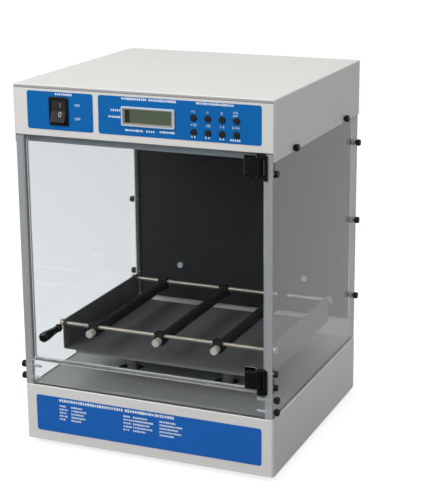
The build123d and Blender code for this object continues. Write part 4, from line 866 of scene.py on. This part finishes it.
class SHAKER_OT_door_fittings(ShakerStep, bpy.types.Operator):
    """Finish the knob and hinges, put clear pads behind the leaves, black cheeks and the door seal"""
    bl_idname = "shaker.door_fittings"
    bl_label = "Knob and hinges"

    def execute(self, context):
        nylon = moulded_plastic("black nylon hinge, moulded", chosen(context, "black"), 0.5, shine=0.25)
        dress(
            moulded_plastic("black phenolic knob, polished", srgb("151515"), 0.2, (0.5, 0.002)), "door_knob")
        dress(nylon, "hinge_leaves", "hinge_brackets")
        dress(worked_metal("blackened steel screw", srgb("2A2A2C"), 0.4, 0.4), "hinge_fasteners")
        # a clear pad between each leaf and the door shows as a pale line round the leaf
        shape = bmesh.new()
        for low, high in PAD_Z:
            outline_into(
                shape, rounded_outline(PAD_LEFT, PAD_RIGHT, low, high, 1.5), DOOR_FACE, DOOR_FACE - PAD_T)
        shaped_piece("hinge_pads", shape, "door",
                     cast_acrylic("cast acrylic pads", chosen(context, "acrylic"), srgb("B4B8BA"),
                                  (("Y", DOOR_FACE), ("Y", DOOR_FACE - PAD_T))))
        # each bracket is folded over the window's front edge; its inner face steps back from the open leaf
        shape = bmesh.new()
        for low, high in CHEEK_Z:
            outline_into(
                shape, rounded_outline(WINDOW_IN - 0.9, WINDOW_IN + 3.2, low, high, 0.8), FRONT, FRONT - 1.6)
            for inner, near, far in ((1.2, -0.1, 1.2), (2.0, 1.1, 3.5)):
                slab_into(shape, (WINDOW_IN - inner, FRONT + near, low + 0.8),
                          (WINDOW_IN - 0.02, FRONT + far, high - 0.8))
        shaped_piece("hinge_cheeks", shape, "cabinet", nylon)
        # the seal that the free edge of the door closes against
        shape = bmesh.new()
        slab_into(
            shape, (-WINDOW_IN, FRONT + 0.3, RAIL_TOP + 1), (-WINDOW_IN + 1.1, DOOR_FACE + 0.5, DOOR_TOP))
        shaped_piece("door_seal", shape, "cabinet",
                     moulded_rubber("grey silicone door seal", srgb("8E9193"), 0.6))
        return {"FINISHED"}


class SHAKER_OT_tray_gear(ShakerStep, bpy.types.Operator):
    """Finish the tray, its cross rods, the clamp bars and their knurled knobs"""
    bl_idname = "shaker.tray_gear"
    bl_label = "Tray and clamp bars"

    def execute(self, context):
        dress(
            textured_coat("dark grey satin powder-coated steel", chosen(context, "tray"), 0.42, (1.1, 0.008),
                          0.3), "tray")
        dress(
            worked_metal("nickel-plated steel, polished", chosen(context, "nickel"), 0.4, 0.3, metallic=0.6),
            "cross_rods")
        dress(
            worked_metal("nickel-plated steel, satin", chosen(context, "satin_nickel"), 0.5, 0.3,
                         metallic=0.25), *[f"tie_rod_{i}" for i in (1, 2, 3)])
        dress(moulded_rubber("black rubber sleeve", srgb("161616")), *[f"clamp_bar_{i}" for i in (1, 2, 3)])
        dress(
            worked_metal("anodised aluminium platform", srgb("8C8D8E"), 0.5, 0.5, (1, 8, 1), metallic=0.4),
            "platform_plate")
        return {"FINISHED"}


class SHAKER_OT_drive(ShakerStep, bpy.types.Operator):
    """Finish the motor, belt, cranks, bearings and drive frame"""
    bl_idname = "shaker.drive"
    bl_label = "Orbital drive"

    def execute(self, context):
        dress(
            worked_metal("turned aluminium", srgb("B6B8BA"), 0.34, 0.4, (1, 1, 6)), "bearing_housings",
            "driven_pulley", "motor_pulley")
        dress(worked_metal("milled aluminium frame", srgb("AEB0B2"), 0.42, 0.6, (6, 1, 1)), "drive_frame")
        dress(
            worked_metal("turned steel crank", srgb("9B9B9C"), 0.32, 0.35, (1, 1, 5)), "main_crank",
            *[f"idler_crank_{i}" for i in (1, 2, 3)])
        dress(
            worked_metal("ground bearing steel", srgb("C4C4C6"), 0.18, 0.25, (1, 1, 6), 0.001),
            "base_bearings", "frame_bearings")
        dress(moulded_rubber("black neoprene belt", srgb("181818")), "drive_belt")
        dress(textured_coat("black motor enamel", srgb("232426"), 0.38, (1.0, 0.01)), "drive_motor")
        return {"FINISHED"}


class SHAKER_OT_hood_inside(ShakerStep, bpy.types.Operator):
    """Finish the fan, air duct, heater, power supply and control board"""
    bl_idname = "shaker.hood_inside"
    bl_label = "Inside the hood"

    def execute(self, context):
        dress(
            moulded_plastic("black glass-filled fan plastic", chosen(context, "black"), 0.5, (0.8, 0.01)),
            "fan_housing", "fan_rotor")
        dress(galvanised_sheet("galvanised steel sheet"), "air_duct")
        dress(heat_tinted_steel("heater sheath steel, heat tinted"), "heater_element")
        dress(perforated_sheet("perforated aluminium cover"), "power_supply")
        dress(circuit_laminate("lacquered circuit board"), "control_board")
        return {"FINISHED"}


class SHAKER_OT_rear_fittings(ShakerStep, bpy.types.Operator):
    """Put the cross-recess screws on the rear wall, the inlet flange and the underside"""
    bl_idname = "shaker.rear_fittings"
    bl_label = "Rear and underside screws"

    def execute(self, context):
        details = context.scene.shaker_details
        small = details.small_screw_d / MM
        dress(moulded_rubber("black rubber foot", srgb("202020")), "rubber_feet")
        steel = worked_metal("zinc-plated steel screw", srgb("B2B4B6"), 0.3, 0.3)
        for index, (name, diameter, flat, places, outward) in enumerate((
                ("rear_screws", small, 1.0, REAR_SEATS, (0, 1, 0)),
                ("inlet_screws", 5.0, 0.6, INLET_SEATS, (0, 1, 0)),
                ("plate_screws", small, 1.0, PLATE_SEATS, (0, 0, -1)))):
            copies_on(name, pan_screw(diameter, flat), [(place, outward) for place in places], steel,
                      math.pi, details.seed + index)
        return {"FINISHED"}


def mirrored_ray(tree, path):
    """1 for a ray that a mirror or clear sheet has thrown back on its way, also inside the sheet."""
    thrown = add_node(tree, "ShaderNodeMath", {0: path["Glossy Depth"], 1: 0.5}, operation="GREATER_THAN")
    return add_node(tree, "ShaderNodeMath", {0: thrown, 1: path["Is Diffuse Ray"]}, operation="GREATER_THAN")


def direct_ray(tree, path):
    """1 for a ray from the camera, straight or through a clear sheet."""
    return merged(tree, "MAXIMUM", path["Is Camera Ray"], path["Is Transmission Ray"])


def backdrop_paper(studio):
    # Backdrop paper: matt and even; the camera sees it nearly white, and it keeps soft shadows.
    # Mirrors see it dark in front of the object and grey behind it, so the clear sheets stay clear.
    paper, tree, shader, place = new_finish(
        "white backdrop paper", (PAPER_GREY,) * 3, 0.9,
        {"Specular IOR Level": 0.0, "Emission Color": (1, 1, 1, 1)})
    path = add_node(tree, "ShaderNodeLightPath").outputs
    where = add_node(tree, "ShaderNodeSeparateXYZ", {0: place})
    behind = add_node(
        tree, "ShaderNodeMapRange",
        {"Value": where.outputs["Y"], "From Min": FLOOR_DARK_Y, "From Max": FLOOR_GREY_Y,
         "To Max": studio.side_mirror})
    mirrored = mirrored_ray(tree, path)
    add_node(
        tree, "ShaderNodeMix", {0: mirrored, 2: PAPER_GREY, 3: MIRRORED_GREY}, shader.inputs["Base Color"])
    seen = add_node(
        tree, "ShaderNodeMath", {0: direct_ray(tree, path), 1: studio.floor_glow}, operation="MULTIPLY")
    add_node(tree, "ShaderNodeMix", {0: mirrored, 2: seen, 3: behind}, shader.inputs["Emission Strength"])
    return paper


def studio_light(studio):
    """World: even white light, a white ground for the camera, and for mirrors a studio with a dark front."""
    world = bpy.data.worlds.new("studio light")
    world.use_nodes = True
    tree = world.node_tree
    tree.nodes.clear()
    path = add_node(tree, "ShaderNodeLightPath").outputs
    way = add_node(
        tree, "ShaderNodeSeparateXYZ", {0: add_node(tree, "ShaderNodeTexCoord").outputs["Generated"]})
    behind = add_node(
        tree, "ShaderNodeMapRange",
        {"Value": way.outputs["Y"], "From Min": WORLD_DARK_Y, "From Max": WORLD_GREY_Y,
         "To Min": WORLD_DARKEST, "To Max": studio.side_mirror + WORLD_EXTRA})
    mirrored, ambient, white = [
        add_node(tree, "ShaderNodeBackground", {"Color": (1, 1, 1, 1), "Strength": strength})
        for strength in (behind, studio.ambient, 1.0)]
    straight = add_node(tree, "ShaderNodeMixShader", {0: direct_ray(tree, path), 1: ambient, 2: white})
    both = add_node(tree, "ShaderNodeMixShader", {0: mirrored_ray(tree, path), 1: straight, 2: mirrored})
    add_node(tree, "ShaderNodeOutputWorld", {"Surface": both})
    return world


class SHAKER_OT_studio(ShakerStep, bpy.types.Operator):
    """Set the pale floor, the soft light and the camera"""
    bl_idname = "shaker.studio"
    bl_label = "Studio"

    def execute(self, context):
        scene, studio = context.scene, context.scene.shaker_studio
        scene.view_settings.view_transform = "Standard"
        # floor: one sheet that curves up behind the object
        shape = bmesh.new()
        bend = [math.pi / 2 * i / BEND_STEPS for i in range(1, BEND_STEPS + 1)]
        profile = ([(FLOOR_NEAR, 0.0), (FLOOR_FAR, 0.0)]
                   + [(FLOOR_FAR + math.sin(a) * BEND, BEND - math.cos(a) * BEND) for a in bend]
                   + [(FLOOR_FAR + BEND, WALL_TOP)])
        left, right = [[shape.verts.new((x, y, z)) for y, z in profile] for x in (-FLOOR_HALF, FLOOR_HALF)]
        for i in range(len(profile) - 1):
            shape.faces.new((left[i], right[i], right[i + 1], left[i + 1]))
        floor = finished_object("studio_floor", shape)
        floor.data.materials.append(backdrop_paper(studio))
        scene.world = studio_light(studio)

        for name, place, size, power in (("key lamp", KEY_PLACE, KEY_SIDE, studio.key_power),
                                         ("top lamp", TOP_PLACE, TOP_SIDE, studio.top_power)):
            lamp = bpy.data.lights.new(name, "AREA")
            lamp.shape = "SQUARE"
            lamp.size = size
            lamp.energy = power
            holder = linked(name, lamp)
            holder.location = place
            aim = Vector(LIT_POINT) - Vector(place)
            holder.rotation_euler = aim.to_track_quat("-Z", "Y").to_euler()

        lens = bpy.data.cameras.new("camera")
        lens.lens = studio.lens
        lens.shift_y = CAMERA_SHIFT
        lens.clip_end = 20
        camera = linked("camera", lens)
        camera.location = CAMERA_PLACE
        camera.rotation_euler = [math.radians(angle) for angle in CAMERA_TURN]
        scene.camera = camera
        return {"FINISHED"}


GROUPS = {"shaker_colours": ShakerColours, "shaker_details": ShakerDetails, "shaker_studio": ShakerStudio}
STEPS = (SHAKER_OT_painted_sheet, SHAKER_OT_clear_panels, SHAKER_OT_thumbscrews, SHAKER_OT_labels,
         SHAKER_OT_controls, SHAKER_OT_door_fittings, SHAKER_OT_tray_gear, SHAKER_OT_drive,
         SHAKER_OT_hood_inside, SHAKER_OT_rear_fittings, SHAKER_OT_studio)


class SHAKER_PT_panel(bpy.types.Panel):
    """Lists the steps and settings in the sidebar"""
    bl_idname = "SHAKER_PT_panel"
    bl_label = "Benchtop shaker"
    bl_space_type = "VIEW_3D"
    bl_region_type = "UI"
    bl_category = "Shaker"

    def draw(self, context):
        for step in STEPS:
            self.layout.operator(step.bl_idname)
        for name, group in GROUPS.items():
            box = self.layout.box()
            for setting in group.__annotations__:
                box.prop(getattr(context.scene, name), setting)


CLASSES = tuple(GROUPS.values()) + STEPS + (SHAKER_PT_panel,)


def register():
    for cls in CLASSES:
        bpy.utils.register_class(cls)
    for name, group in GROUPS.items():
        setattr(bpy.types.Scene, name, bpy.props.PointerProperty(type=group))


def unregister():
    for name in GROUPS:
        delattr(bpy.types.Scene, name)
    for cls in reversed(CLASSES):
        bpy.utils.unregister_class(cls)


def main():
    """Run every step."""
    register()
    for step in STEPS:
        group, name = step.bl_idname.split(".")
        if getattr(getattr(bpy.ops, group), name)() != {"FINISHED"}:
            raise RuntimeError(step.bl_label + " did not finish")


if __name__ == "__main__":
    main()
